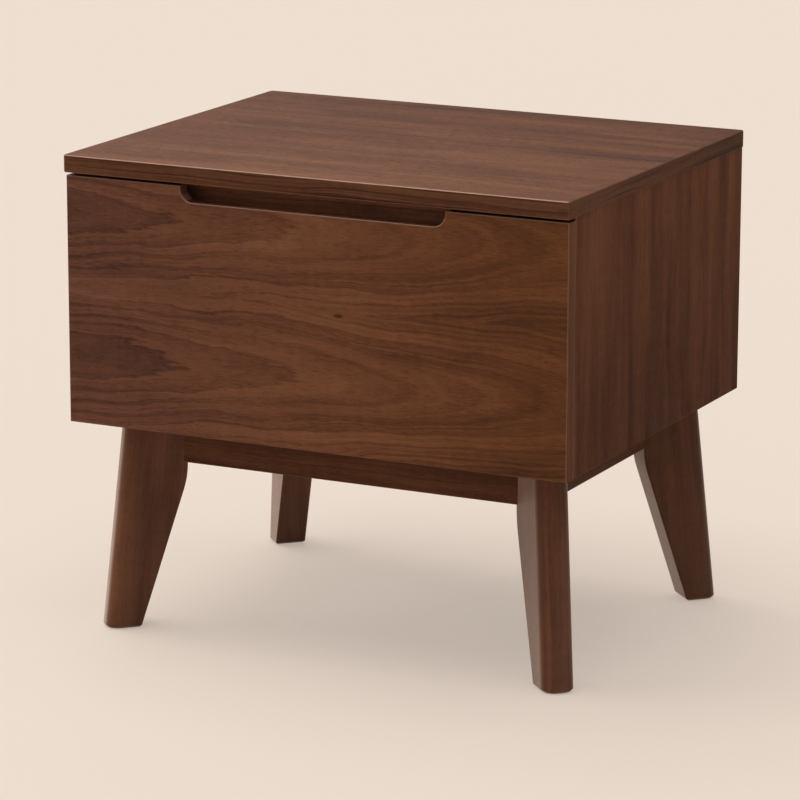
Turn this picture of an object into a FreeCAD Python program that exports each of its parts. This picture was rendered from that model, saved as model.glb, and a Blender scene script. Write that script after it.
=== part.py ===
"""Walnut nightstand with one drawer, as a parametric FreeCAD document.

The stand is a case of veneered boards on a recessed frame of rails and four
splayed plank legs. The drawer front covers the whole case front, has a finger
notch in its top edge and runs on two three-member ball-bearing runners.

Frame: origin on the floor under the middle of the top, X to the right,
Y to the back, Z up, millimetres. The drawer opens towards -Y.
"""
import FreeCAD, Part

import os
import re

import Sketcher
from FreeCAD import Placement, Rotation, Vector

# Driving sizes in millimetres, unless the note says otherwise: alias, value, note.
SIZES = [
    ("width", 500, "top, side to side"),
    ("depth", 400, "top, front to back"),
    ("height", 450, "floor to top surface"),
    ("top_thick", 16, "top board"),
    ("side_overhang", 1.5, "top past each side panel"),
    ("front_overhang", 3, "top past the drawer front's face"),
    ("top_corner_round", 3, "top's upright corners"),
    ("top_arris", 0.8, "chamfer round the top's level edges"),
    ("case_lift", 202, "floor to the case's underside"),
    ("board_thick", 16, "side and bottom panels"),
    ("back_thick", 6, "back panel"),
    ("back_inset", 2, "case back to the back panel's outer face"),
    ("rebate_deep", 8, "side panel's rebate for the back panel"),
    ("panel_arris", 0.6, "chamfer on a side panel's outer edges"),
    ("stretcher_thick", 16, "stretchers under the top"),
    ("stretcher_tall", 36, "stretchers under the top"),
    ("stretcher_setback", 25.5, "case front to the front stretcher"),
    ("housing_deep", 6, "side panel's housings for the stretchers' ends"),
    ("front_thick", 13, "drawer front"),
    ("front_gap", 1.5, "drawer front to the case's front edges"),
    ("front_top_gap", 3, "shadow gap between drawer front and top"),
    ("front_arris", 0.8, "chamfer round the drawer front's face"),
    ("notch_wide", 262, "finger notch, wall to wall"),
    ("notch_deep", 14.5, "finger notch, down from the front's top edge"),
    ("notch_round", 12, "finger notch's floor corners"),
    ("notch_lip_round", 2, "finger notch's upper corners"),
    ("rail_thick", 20, "base rails"),
    ("rail_drop", 46, "base rails, down from the case"),
    ("rail_inset", 57, "case faces to the rails' outer faces"),
    ("rail_arris", 1, "chamfer on the rails' lower edges"),
    ("leg_thick", 30.5, "leg plank"),
    ("leg_top_outer", 44, "case corner to the leg's outer edge, at its top"),
    ("leg_top_inner", 100, "case corner to the leg's inner edge, at its top"),
    ("leg_foot_outer", 21.5, "case corner to the leg's outer edge, at the foot"),
    ("leg_foot_inner", 53.5, "case corner to the leg's inner edge, at the foot"),
    ("knee_drop", 14, "rail's lower edge to the leg's knee"),
    ("knee_round", 80, "bend at the leg's knee"),
    ("leg_outer_round", 13, "leg's outer arrises"),
    ("leg_inner_arris", 1.2, "chamfer on the leg's inner arrises"),
    ("foot_arris", 2, "chamfer round the foot"),
    ("glide_radius", 9, "foot glide"),
    ("glide_thick", 3, "foot glide"),
    ("glide_proud", 1, "glide below the foot"),
    ("block_tall", 40, "corner block"),
    ("block_reach", 140, "case face to the corner block's far end, along a rail"),
    ("bolt_radius", 4, "leg bolt"),
    ("bolt_bite", 38, "leg bolt's length in the leg"),
    ("bolt_stub", 3, "leg bolt past its nut"),
    ("nut_flats", 13, "leg nut, across flats"),
    ("nut_thick", 6.5, "leg nut"),
    ("flange_radius", 9, "leg nut's flange"),
    ("flange_thick", 1.6, "leg nut's flange"),
    ("dowel_radius", 4, "dowel"),
    ("dowel_in_face", 10, "dowel's length in a board's face"),
    ("dowel_in_edge", 20, "dowel's length in a board's edge"),
    ("dowel_relief", 1, "hole past a dowel's or bolt's end"),
    ("dowel_pitch", 250, "two dowels along a side panel"),
    ("drill_play", 0.1, "hole past a fastener, on the radius"),
    ("runner_deep", 12.7, "runner, case side to drawer side"),
    ("runner_tall", 45, "runner's case member"),
    ("runner_setback", 2.5, "case front to the runner's front end"),
    ("runner_back_gap", 22, "runner's back end to the back panel"),
    ("runner_reserve", 20, "runner's length less its full travel"),
    ("runner_lift", 70, "drawer box's lower edge to the runner's middle"),
    ("steel_thick", 1.2, "runner members"),
    ("race_radius", 1.75, "ball race's inner radius"),
    ("bend_radius", 1.8, "outside of a bend in the runner's steel"),
    ("middle_web_deep", 2.7, "case side to the middle member's web"),
    ("inner_race_deep", 8.2, "case side to the inner ball rows"),
    ("case_curl", 40, "degrees, end of the case member's curl round its balls"),
    ("middle_curl", -10, "degrees, end of the middle member's curl round the inner balls"),
    ("drawer_curl", -150, "degrees, end of the drawer member's curl round the inner balls"),
    ("cage_thick", 0.8, "ball cages"),
    ("outer_cage_deep", 1.55, "case side to the outer cage's web"),
    ("inner_cage_deep", 4.25, "case side to the inner cage's web"),
    ("cage_lip", 1.2, "cage's flange past its ball row"),
    ("cage_margin", 17.5, "cage from the member's front end, drawer open"),
    ("ball_radius", 1.6, "bearing ball"),
    ("ball_pitch", 26, "balls along a cage"),
    ("pocket_play", 0.1, "cage pocket past its ball"),
    ("fixing_radius", 2.2, "screw holes in the case and drawer members"),
    ("fixing_inset", 37, "screw holes from a member's ends"),
    ("window_long", 44, "windows in the middle member's web"),
    ("window_tall", 12, "windows in the middle member's web"),
    ("window_spread", 180, "two windows, middle to middle"),
    ("box_thick", 12, "drawer box's sides, front and back"),
    ("box_top_gap", 8, "drawer box to the stretchers above it"),
    ("box_back_gap", 16, "drawer box to the back panel"),
    ("box_lift", 12, "bottom panel to the drawer box"),
    ("box_bottom_thick", 6, "drawer bottom"),
    ("bottom_lift", 10, "drawer box's lower edge to the drawer bottom"),
    ("groove_deep", 6, "groove for the drawer bottom"),
    ("groove_play", 0.5, "drawer bottom's edge to the groove's floor"),
    ("box_arris", 1, "chamfer on the drawer box's upper edges"),
    ("end_pin", 7, "dovetail joint, pin at its top and bottom, narrow side"),
    ("tail_gap", 6, "dovetail joint, pin between two tails, narrow side"),
    ("tail_slope", 7, "dovetail joint, run for one of rise"),
    ("bumper_wide", 8, "drawer bumper, a square pad"),
    ("bumper_inset", 4, "drawer bumper from the front's side edge"),
    ("bumper_drop", 20, "drawer bumper from the front's upper edge"),
    ("seat_play", 0.3, "running gap at a stop"),
]
NAMES = {name for name, _, _ in SIZES}

doc = FreeCAD.newDocument("Nightstand")
sheet = doc.addObject("Spreadsheet::Sheet", "Sizes")
for row, (name, number, note) in enumerate(SIZES, start=1):
    sheet.set(f"A{row}", str(number))
    sheet.setAlias(f"A{row}", name)
    sheet.set(f"B{row}", note)
doc.recompute()

# Places that several pieces share, as expressions in the sheet's sizes.
CASE_HALF = "(width/2 - side_overhang)"
INNER_HALF = f"({CASE_HALF} - board_thick)"
CASE_BACK = "(depth/2)"
BACK_PANEL_REAR = f"({CASE_BACK} - back_inset)"
BACK_PANEL_FACE = f"({BACK_PANEL_REAR} - back_thick)"
FRONT_FACE = "(front_overhang - depth/2)"
FRONT_BACK = f"({FRONT_FACE} + front_thick)"
CASE_FRONT = f"({FRONT_BACK} + front_gap)"
CASE_MIDDLE = f"(({CASE_FRONT} + {CASE_BACK})/2)"
CASE_BASE = "case_lift"
CASE_TOP = "(height - top_thick)"
STRETCHER_BASE = f"({CASE_TOP} - stretcher_tall)"
STRETCHER_FACE = f"({CASE_FRONT} + stretcher_setback)"
RAIL_BASE = f"({CASE_BASE} - rail_drop)"
BLOCK_BASE = f"({CASE_BASE} - block_tall)"
BOX_HALF = f"({INNER_HALF} - runner_deep)"
BOX_INNER_HALF = f"({BOX_HALF} - box_thick)"
BOX_BASE = f"({CASE_BASE} + board_thick + box_lift)"
BOX_TOP = f"({STRETCHER_BASE} - box_top_gap)"
BOX_BACK = f"({BACK_PANEL_FACE} - box_back_gap)"
BOX_FRONT_INNER = f"({FRONT_BACK} + box_thick)"
BOX_BACK_INNER = f"({BOX_BACK} - box_thick)"
BOX_BOTTOM_BASE = f"({BOX_BASE} + bottom_lift)"
BOX_BOTTOM_TOP = f"({BOX_BOTTOM_BASE} + box_bottom_thick)"
RUNNER_FRONT = f"({CASE_FRONT} + runner_setback)"
RUNNER_BACK = f"({BACK_PANEL_FACE} - runner_back_gap)"
RUNNER_LONG = f"({RUNNER_BACK} - {RUNNER_FRONT})"
RUNNER_MIDDLE = f"({BOX_BASE} + runner_lift)"

ROOT_TWO = "sqrt(2)"
SIDES = {"left": -1, "right": 1}
ENDS = {"front": -1, "back": 1}
CORNERS = [(end, side) for end in ENDS for side in SIDES]
TAILS = 5
BALLS = 6

# Two levels nearer than this are the same, in millimetres.
SAME = 1e-4

parts = []


def bound(text):
    """Names the sheet before each size in an expression."""
    return re.sub(r"[a-z_]+", lambda word: f"Sizes.{word[0]}" if word[0] in NAMES else word[0], text)


def value(text):
    """The number that an expression in the sheet's sizes gives."""
    return float(sheet.evalExpression(bound(text)))


# ---- FreeCAD helpers -------------------------------------------------------


def new_body(label, kept=True):
    """A body of its own, which is written out unless it is only a pattern for copies."""
    body = doc.addObject("PartDesign::Body", label)
    body.Label = label
    if kept:
        parts.append(body)
    return body


def sketch_on(body, plane, offset="0"):
    """A sketch on one of the body's origin planes, moved along the plane's normal."""
    sketch = body.newObject("Sketcher::SketchObject", f"{body.Name}_sketch")
    planes = {feature.Role: feature for feature in body.Origin.OriginFeatures}
    sketch.AttachmentSupport = [(planes[plane], "")]
    sketch.MapMode = "FlatFace"
    sketch.setExpression("AttachmentOffset.Base.z", bound(offset))
    return sketch


def pin_point(sketch, geometry, point, x, y):
    """Fixes one point of a sketch at two expressions."""
    for kind, text in (("DistanceX", x), ("DistanceY", y)):
        index = sketch.addConstraint(Sketcher.Constraint(kind, -1, 1, geometry, point, value(text)))
        sketch.setExpression(f"Constraints[{index}]", bound(text))


def outline(sketch, corners):
    """Closes an outline. A corner is (x, y), or (x, y, radius, turn) where an arc runs on to the
    next corner, turning left for a turn of 1 and right for a turn of -1."""
    spots = [Vector(value(corner[0]), value(corner[1]), 0) for corner in corners]
    first = sketch.GeometryCount
    heads = []
    for index, corner in enumerate(corners):
        here, there = spots[index], spots[(index + 1) % len(spots)]
        if len(corner) == 2:
            sketch.addGeometry(Part.LineSegment(here, there), False)
            heads.append((1, 2))
            continue
        radius, turn = value(corner[2]), corner[3]
        chord = there - here
        normal = Vector(-chord.y, chord.x, 0).normalize()
        height = max(radius**2 - (chord.Length / 2) ** 2, 0) ** 0.5
        centre = here + chord * 0.5 + normal * height * turn
        low, high = (here, there) if turn > 0 else (there, here)
        circle = Part.Circle(centre, Vector(0, 0, 1), radius)
        arc = Part.ArcOfCircle(circle, circle.parameter(low), circle.parameter(high))
        sketch.addGeometry(arc, False)
        heads.append((1, 2) if turn > 0 else (2, 1))
    count = len(corners)
    for index, corner in enumerate(corners):
        following = (index + 1) % count
        sketch.addConstraint(
            Sketcher.Constraint(
                "Coincident", first + index, heads[index][1], first + following, heads[following][0]
            )
        )
        pin_point(sketch, first + index, heads[index][0], corner[0], corner[1])
        if len(corner) > 2:
            radius = sketch.addConstraint(
                Sketcher.Constraint("Radius", first + index, value(corner[2]))
            )
            sketch.setExpression(f"Constraints[{radius}]", bound(corner[2]))


def rectangle(sketch, x_range, y_range):
    """Closes a rectangle between two pairs of expressions."""
    (x_low, x_high), (y_low, y_high) = x_range, y_range
    outline(sketch, [(x_low, y_low), (x_high, y_low), (x_high, y_high), (x_low, y_high)])


def circles(sketch, centres, radius):
    """Draws a circle at each centre."""
    for x, y in centres:
        spot = Vector(value(x), value(y), 0)
        index = sketch.addGeometry(Part.Circle(spot, Vector(0, 0, 1), value(radius)), False)
        pin_point(sketch, index, 3, x, y)
        size = sketch.addConstraint(Sketcher.Constraint("Radius", index, value(radius)))
        sketch.setExpression(f"Constraints[{size}]", bound(radius))


def pad(body, sketch, length, both=False):
    """Pads a sketch along its normal, or to both sides of its plane."""
    feature = body.newObject("PartDesign::Pad", f"{body.Name}_pad")
    feature.Profile = sketch
    feature.SideType = "Symmetric" if both else "One side"
    feature.setExpression("Length", bound(length))
    doc.recompute()


def cut(body, sketch, depth, forward):
    """Cuts a sketch into the body, along its plane's normal where forward is true."""
    before = body.Shape.Volume
    feature = body.newObject("PartDesign::Pocket", f"{body.Name}_cut")
    feature.Profile = sketch
    feature.Reversed = forward
    feature.setExpression("Length", bound(depth))
    doc.recompute()
    require_less(body, before)


def require_less(body, before):
    """Stops the build if a cut took nothing away."""
    if body.Shape.Volume >= before - 1e-6:
        raise RuntimeError(f"a cut in {body.Label} took nothing away")


def drill(body, plane, offset, centres, radius, depth, forward):
    """Drills plain holes at the centres, from a level of one origin plane."""
    sketch = sketch_on(body, plane, offset)
    circles(sketch, centres, radius)
    cut(body, sketch, depth, forward)


def dress(body, kind, size, chosen):
    """Gives a Fillet's radius, or a Chamfer's size, to the edges that the test chosen accepts."""
    base = body.Tip
    edges = [f"Edge{i}" for i, edge in enumerate(base.Shape.Edges, start=1) if chosen(edge)]
    feature = body.newObject(f"PartDesign::{kind}", f"{body.Name}_{kind.lower()}")
    feature.Base = (base, edges)
    feature.setExpression("Radius" if kind == "Fillet" else "Size", bound(size))
    doc.recompute()


def round_off(body, radius, chosen):
    """Rounds the chosen edges."""
    dress(body, "Fillet", radius, chosen)


def ease(body, size, chosen):
    """Chamfers the chosen edges."""
    dress(body, "Chamfer", size, chosen)


def board(label, x_range, y_range, z_range):
    """A plain board between three pairs of expressions."""
    body = new_body(label)
    sketch = sketch_on(body, "XY_Plane", z_range[0])
    rectangle(sketch, x_range, y_range)
    pad(body, sketch, f"{z_range[1]} - {z_range[0]}")
    return body


def copies(label, pattern, places):
    """One node of equal loose pieces: the pattern's +Z is turned to each direction."""
    links = []
    for place, direction in places:
        link = doc.addObject("App::Link", f"{label}_copy")
        link.LinkedObject = pattern
        link.Placement = Placement(Vector(), Rotation(Vector(0, 0, 1), direction))
        for axis, text in zip("xyz", place):
            link.setExpression(f"Placement.Base.{axis}", bound(text))
        links.append(link)
    group = doc.addObject("Part::Compound", label)
    group.Label = label
    group.Links = links
    parts.append(group)


def is_level(edge, height):
    """Whether an edge lies at one height."""
    box = edge.BoundBox
    return abs(box.ZMin - height) < SAME and abs(box.ZMax - height) < SAME


def is_upright(edge):
    """Whether an edge runs straight up."""
    box = edge.BoundBox
    return box.XLength < SAME and box.YLength < SAME


def is_at_x(edge, place):
    """Whether an edge lies in one plane across the stand."""
    box = edge.BoundBox
    return abs(box.XMin - place) < SAME and abs(box.XMax - place) < SAME


def corner_place(end, side, along, across):
    """Row X and Y of a point that is measured from a case corner, inwards along its diagonal and
    across it."""
    x_sign, y_sign = SIDES[side], ENDS[end]
    corner_y = CASE_FRONT if end == "front" else CASE_BACK
    x = f"{x_sign}*{CASE_HALF} + ({-x_sign}*({along}) + {y_sign}*({across}))/{ROOT_TWO}"
    y = f"{corner_y} + ({-y_sign}*({along}) + {-x_sign}*({across}))/{ROOT_TWO}"
    return x, y


def set_in_corner(body, end, side):
    """Places a body drawn in a case corner's own frame, +X inwards along the diagonal."""
    x, y = corner_place(end, side, "0", "0")
    inwards = Vector(-SIDES[side], -ENDS[end], 0)
    body.Placement = Placement(Vector(), Rotation(Vector(1, 0, 0), inwards))
    body.setExpression("Placement.Base.x", bound(x))
    body.setExpression("Placement.Base.y", bound(y))


# ---- Case ------------------------------------------------------------------

DOWEL_ROW = [f"{CASE_MIDDLE} + {step}*dowel_pitch/2" for step in (-1, 1)]
DOWEL_HOLE = "dowel_radius + drill_play"
PANEL_MIDDLE = f"({INNER_HALF} + board_thick/2)"
BOTTOM_MIDDLE = f"({CASE_BASE} + board_thick/2)"
STRETCHERS = {
    "front_stretcher": (STRETCHER_FACE, f"({STRETCHER_FACE} + stretcher_thick)"),
    "back_stretcher": (f"({BACK_PANEL_FACE} - stretcher_thick)", BACK_PANEL_FACE),
}
STRETCHER_HALF = f"({INNER_HALF} + housing_deep)"


def build_top():
    """The top board, with soft arrises and dowel holes in its underside."""
    slab = board(
        "top_slab",
        ("-width/2", "width/2"),
        ("-depth/2", "depth/2"),
        (CASE_TOP, "height"),
    )
    round_off(slab, "top_corner_round", is_upright)
    ease(slab, "top_arris", lambda edge: not is_upright(edge))
    centres = [(f"{sign}*{PANEL_MIDDLE}", y) for sign in SIDES.values() for y in DOWEL_ROW]
    drill(slab, "XY_Plane", CASE_TOP, centres, DOWEL_HOLE, "dowel_in_face + dowel_relief", True)


def build_side(side, sign):
    """A side panel: rebated for the back panel, housed for the stretchers and drilled for dowels."""
    body = new_body(f"side_panel_{side}")
    sketch = sketch_on(body, "XY_Plane", CASE_BASE)
    inner, outer = f"{sign}*{INNER_HALF}", f"{sign}*{CASE_HALF}"
    rebate = f"{sign}*({INNER_HALF} + rebate_deep)"
    outline(
        sketch,
        [
            (inner, CASE_FRONT),
            (outer, CASE_FRONT),
            (outer, CASE_BACK),
            (rebate, CASE_BACK),
            (rebate, BACK_PANEL_FACE),
            (inner, BACK_PANEL_FACE),
        ],
    )
    pad(body, sketch, f"{CASE_TOP} - {CASE_BASE}")
    face, top = value(outer), value(CASE_TOP)
    ease(body, "panel_arris", lambda edge: is_at_x(edge, face) and not is_level(edge, top))
    housings = sketch_on(body, "YZ_Plane", inner)
    for y_range in STRETCHERS.values():
        rectangle(housings, y_range, (STRETCHER_BASE, CASE_TOP))
    outwards = sign > 0
    cut(body, housings, "housing_deep", outwards)
    top_holes = [(f"{sign}*{PANEL_MIDDLE}", y) for y in DOWEL_ROW]
    drill(body, "XY_Plane", CASE_TOP, top_holes, DOWEL_HOLE, "dowel_in_edge + dowel_relief", False)
    base_holes = [(y, BOTTOM_MIDDLE) for y in DOWEL_ROW]
    drill(body, "YZ_Plane", inner, base_holes, DOWEL_HOLE, "dowel_in_face + dowel_relief", outwards)


def build_bottom():
    """The case's bottom panel, drilled for its dowels."""
    body = board(
        "bottom_panel",
        (f"-{INNER_HALF}", INNER_HALF),
        (CASE_FRONT, BACK_PANEL_FACE),
        (CASE_BASE, f"({CASE_BASE} + board_thick)"),
    )
    centres = [(y, BOTTOM_MIDDLE) for y in DOWEL_ROW]
    for sign in SIDES.values():
        end = f"{sign}*{INNER_HALF}"
        drill(body, "YZ_Plane", end, centres, DOWEL_HOLE, "dowel_in_edge + dowel_relief", sign < 0)


def build_back():
    """The back panel, in the side panels' rebates."""
    half = f"({INNER_HALF} + rebate_deep)"
    board(
        "back_panel",
        (f"-{half}", half),
        (BACK_PANEL_FACE, BACK_PANEL_REAR),
        (CASE_BASE, CASE_TOP),
    )


def build_stretchers():
    """The two stretchers under the top, housed in the side panels."""
    for label, y_range in STRETCHERS.items():
        x_range = (f"-{STRETCHER_HALF}", STRETCHER_HALF)
        board(label, x_range, y_range, (STRETCHER_BASE, CASE_TOP))


def build_dowels():
    """The dowels under the top and in the bottom panel's ends."""
    dowel = new_body("dowel", kept=False)
    sketch = sketch_on(dowel, "XY_Plane")
    circles(sketch, [("0", "0")], "dowel_radius")
    pad(dowel, sketch, "dowel_in_face + dowel_in_edge")
    base = f"{CASE_TOP} - dowel_in_edge"
    uprights = [(f"{sign}*{PANEL_MIDDLE}", y, base) for sign in SIDES.values() for y in DOWEL_ROW]
    copies("top_dowels", dowel, [(place, Vector(0, 0, 1)) for place in uprights])
    places = [
        ((f"{sign}*({INNER_HALF} - dowel_in_edge)", y, BOTTOM_MIDDLE), Vector(sign, 0, 0))
        for sign in SIDES.values()
        for y in DOWEL_ROW
    ]
    copies("bottom_dowels", dowel, places)


# ---- Base ------------------------------------------------------------------

RAIL_INNER = "(rail_inset + rail_thick)"
LEG_FACE_SHIFT = f"(leg_thick/{ROOT_TWO})"
BLOCK_BACK = f"((block_reach + {RAIL_INNER})/{ROOT_TWO})"
BOLT_HEIGHT = f"({CASE_BASE} - block_tall/2)"
BOLT_HOLE = "bolt_radius + drill_play"
FOOT_MIDDLE = "((leg_foot_outer + leg_foot_inner)/2)"


def build_leg(end, side):
    """A plank leg on the case corner's diagonal. Its outer edge leans out to the foot, and its inner
    edge drops straight past the rails, bends at the knee and runs to the narrow foot."""
    body = new_body(f"leg_{end}_{side}")
    sketch = sketch_on(body, "XZ_Plane")
    knee = f"{RAIL_BASE} - knee_drop"
    outline(
        sketch,
        [
            ("leg_foot_outer", "glide_proud"),
            ("leg_foot_inner", "glide_proud"),
            ("leg_top_inner", knee),
            ("leg_top_inner", CASE_BASE),
            ("leg_top_outer", CASE_BASE),
        ],
    )
    pad(body, sketch, "leg_thick", both=True)
    knee_x, knee_z = value("leg_top_inner"), value(knee)
    foot_z, top_z = value("glide_proud"), value(CASE_BASE)

    def at_knee(edge):
        box = edge.BoundBox
        return abs(box.XMin - knee_x) < SAME and is_level(edge, knee_z)

    def runs_down(edge):
        return not is_level(edge, foot_z) and not is_level(edge, top_z) and edge.BoundBox.YLength < SAME

    def on_outer(edge):
        return runs_down(edge) and edge.BoundBox.XMax < value("leg_top_outer") + SAME

    def on_inner(edge):
        return runs_down(edge) and edge.BoundBox.XMin > value(FOOT_MIDDLE)

    round_off(body, "knee_round", at_knee)
    round_off(body, "leg_outer_round", on_outer)
    ease(body, "foot_arris", lambda edge: is_level(edge, foot_z))
    ease(body, "leg_inner_arris", on_inner)
    recess = "glide_thick - glide_proud"
    glide_hole = "glide_radius + drill_play"
    drill(body, "XY_Plane", "glide_proud", [(FOOT_MIDDLE, "0")], glide_hole, recess, True)
    bite = "bolt_bite + dowel_relief"
    drill(body, "YZ_Plane", "leg_top_inner", [("0", BOLT_HEIGHT)], BOLT_HOLE, bite, False)
    set_in_corner(body, end, side)


def build_block(end, side):
    """A corner block: it fills the corner between two rails behind the leg, which is bolted to it."""
    body = new_body(f"corner_block_{end}_{side}")
    sketch = sketch_on(body, "XY_Plane", BLOCK_BASE)
    half = "leg_thick/2"
    shoulder = f"{ROOT_TWO}*{RAIL_INNER} + leg_thick/2"
    wing = f"(block_reach - {RAIL_INNER})/{ROOT_TWO}"
    outline(
        sketch,
        [
            ("leg_top_inner", f"-{half}"),
            (shoulder, f"-{half}"),
            (BLOCK_BACK, f"-{wing}"),
            (BLOCK_BACK, wing),
            (shoulder, half),
            ("leg_top_inner", half),
        ],
    )
    pad(body, sketch, "block_tall")
    length = f"{BLOCK_BACK} - leg_top_inner"
    drill(body, "YZ_Plane", BLOCK_BACK, [("0", BOLT_HEIGHT)], BOLT_HOLE, length, False)
    set_in_corner(body, end, side)


def build_rails():
    """The four base rails, their ends mitred to the legs' faces."""
    z_range = (RAIL_BASE, CASE_BASE)
    near, far = f"(rail_inset + {LEG_FACE_SHIFT})", f"({RAIL_INNER} + {LEG_FACE_SHIFT})"
    for end, sign in ENDS.items():
        face = CASE_FRONT if end == "front" else CASE_BACK
        outer, inner = f"{face} - {sign}*rail_inset", f"{face} - {sign}*{RAIL_INNER}"
        body = new_body(f"rail_{end}")
        sketch = sketch_on(body, "XY_Plane", z_range[0])
        outline(
            sketch,
            [
                (f"-({CASE_HALF} - {near})", outer),
                (f"{CASE_HALF} - {near}", outer),
                (f"{CASE_HALF} - {far}", inner),
                (f"-({CASE_HALF} - {far})", inner),
            ],
        )
        pad(body, sketch, "rail_drop")
        ease_rail(body)
    for side, sign in SIDES.items():
        outer, inner = f"{sign}*({CASE_HALF} - rail_inset)", f"{sign}*({CASE_HALF} - {RAIL_INNER})"
        body = new_body(f"rail_{side}")
        sketch = sketch_on(body, "XY_Plane", z_range[0])
        outline(
            sketch,
            [
                (outer, f"{CASE_FRONT} + {near}"),
                (outer, f"{CASE_BACK} - {near}"),
                (inner, f"{CASE_BACK} - {far}"),
                (inner, f"{CASE_FRONT} + {far}"),
            ],
        )
        pad(body, sketch, "rail_drop")
        ease_rail(body)


def ease_rail(body):
    """Chamfers a rail's two long lower edges."""
    base, long = value(RAIL_BASE), value("rail_thick*2")
    ease(body, "rail_arris", lambda edge: is_level(edge, base) and edge.Length > long)


def build_base_fasteners():
    """Leg bolts, flanged nuts and foot glides."""
    bolt = new_body("bolt", kept=False)
    sketch = sketch_on(bolt, "XY_Plane")
    circles(sketch, [("0", "0")], "bolt_radius")
    past_block = "flange_thick + nut_thick + bolt_stub"
    pad(bolt, sketch, f"bolt_bite + {BLOCK_BACK} - leg_top_inner + {past_block}")

    nut = new_body("nut", kept=False)
    sketch = sketch_on(nut, "XY_Plane")
    circles(sketch, [("0", "0")], "flange_radius")
    pad(nut, sketch, "flange_thick")
    sketch = sketch_on(nut, "XY_Plane", "flange_thick")
    rim = "nut_flats/2/cos(30)"
    outline(sketch, [(f"{rim}*cos({60 * i})", f"{rim}*sin({60 * i})") for i in range(6)])
    pad(nut, sketch, "nut_thick")
    drill(nut, "XY_Plane", "0", [("0", "0")], BOLT_HOLE, "flange_thick + nut_thick", True)

    bolt_places, nut_places, glide_places = [], [], []
    for end, side in CORNERS:
        inwards = Vector(-SIDES[side], -ENDS[end], 0)
        x, y = corner_place(end, side, "leg_top_inner - bolt_bite", "0")
        bolt_places.append(((x, y, BOLT_HEIGHT), inwards))
        x, y = corner_place(end, side, BLOCK_BACK, "0")
        nut_places.append(((x, y, BOLT_HEIGHT), inwards))
        x, y = corner_place(end, side, FOOT_MIDDLE, "0")
        glide_places.append(((x, y, "0"), Vector(0, 0, 1)))
    copies("leg_bolts", bolt, bolt_places)
    copies("leg_nuts", nut, nut_places)

    glide = new_body("glide", kept=False)
    sketch = sketch_on(glide, "XY_Plane")
    circles(sketch, [("0", "0")], "glide_radius")
    pad(glide, sketch, "glide_thick")
    copies("foot_glides", glide, glide_places)


# ---- Drawer ----------------------------------------------------------------

FRONT_TOP = f"({CASE_TOP} - front_top_gap)"


def build_drawer_front():
    """The drawer front, with a finger notch in its top edge."""
    body = new_body("drawer_front")
    sketch = sketch_on(body, "XZ_Plane", f"-{FRONT_BACK}")
    half, lip = "notch_wide/2", "notch_lip_round"
    floor = f"{FRONT_TOP} - notch_deep"
    outline(
        sketch,
        [
            (f"-{CASE_HALF}", CASE_BASE),
            (CASE_HALF, CASE_BASE),
            (CASE_HALF, FRONT_TOP),
            (f"{half} + {lip}", FRONT_TOP, lip, 1),
            (half, f"{FRONT_TOP} - {lip}"),
            (half, f"{floor} + notch_round", "notch_round", -1),
            (f"{half} - notch_round", floor),
            (f"notch_round - {half}", floor, "notch_round", -1),
            (f"-{half}", f"{floor} + notch_round"),
            (f"-{half}", f"{FRONT_TOP} - {lip}", lip, 1),
            (f"-{half} - {lip}", FRONT_TOP),
            (f"-{CASE_HALF}", FRONT_TOP),
        ],
    )
    pad(body, sketch, "front_thick")
    face = value(FRONT_FACE)

    def on_face(edge):
        box = edge.BoundBox
        return abs(box.YMin - face) < SAME and abs(box.YMax - face) < SAME

    ease(body, "front_arris", on_face)


def tails(end, base, low):
    """Corners of a row of dovetails, upwards from the height low to the box's top. A tail is narrow
    at the joint's base line and wide at the board's end."""
    wide = f"({BOX_TOP} - {low} - 2*end_pin - {TAILS - 1}*tail_gap)/{TAILS}"
    corners = []
    for index in range(TAILS):
        foot = f"{low} + end_pin + {index}*({wide} + tail_gap)"
        head = f"{foot} + {wide}"
        corners.append(
            [
                (base, f"{foot} + box_thick/tail_slope"),
                (end, foot),
                (end, head),
                (base, f"{head} - box_thick/tail_slope"),
            ]
        )
    return corners


FRONT_TAILS = tails(FRONT_BACK, BOX_FRONT_INNER, BOX_BASE)
BACK_TAILS = tails(BOX_BACK, BOX_BACK_INNER, BOX_BOTTOM_TOP)


def ease_box_top(body):
    """Chamfers a box board's two long upper edges."""
    top, long = value(BOX_TOP), value("box_thick*2")
    ease(body, "box_arris", lambda edge: is_level(edge, top) and edge.Length > long)


def build_box_sides():
    """The drawer box's sides, with a row of tails at each end and a groove for the bottom."""
    for side, sign in SIDES.items():
        body = new_body(f"box_side_{side}")
        sketch = sketch_on(body, "YZ_Plane", f"{sign}*({BOX_INNER_HALF} + box_thick/2)")
        front = [corner for tail in FRONT_TAILS for corner in tail]
        back = [corner for tail in BACK_TAILS for corner in tail]
        outline(
            sketch,
            [
                (BOX_FRONT_INNER, BOX_BASE),
                *front,
                (BOX_FRONT_INNER, BOX_TOP),
                (BOX_BACK_INNER, BOX_TOP),
                *reversed(back),
                (BOX_BACK_INNER, BOX_BOTTOM_TOP),
                (BOX_BACK, BOX_BOTTOM_TOP),
                (BOX_BACK, BOX_BASE),
            ],
        )
        pad(body, sketch, "box_thick", both=True)
        groove = sketch_on(body, "YZ_Plane", f"{sign}*{BOX_INNER_HALF}")
        start = f"{BOX_FRONT_INNER} - groove_deep"
        rectangle(groove, (start, BOX_BACK), (BOX_BOTTOM_BASE, BOX_BOTTOM_TOP))
        cut(body, groove, "groove_deep", sign > 0)
        ease_box_top(body)


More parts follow.
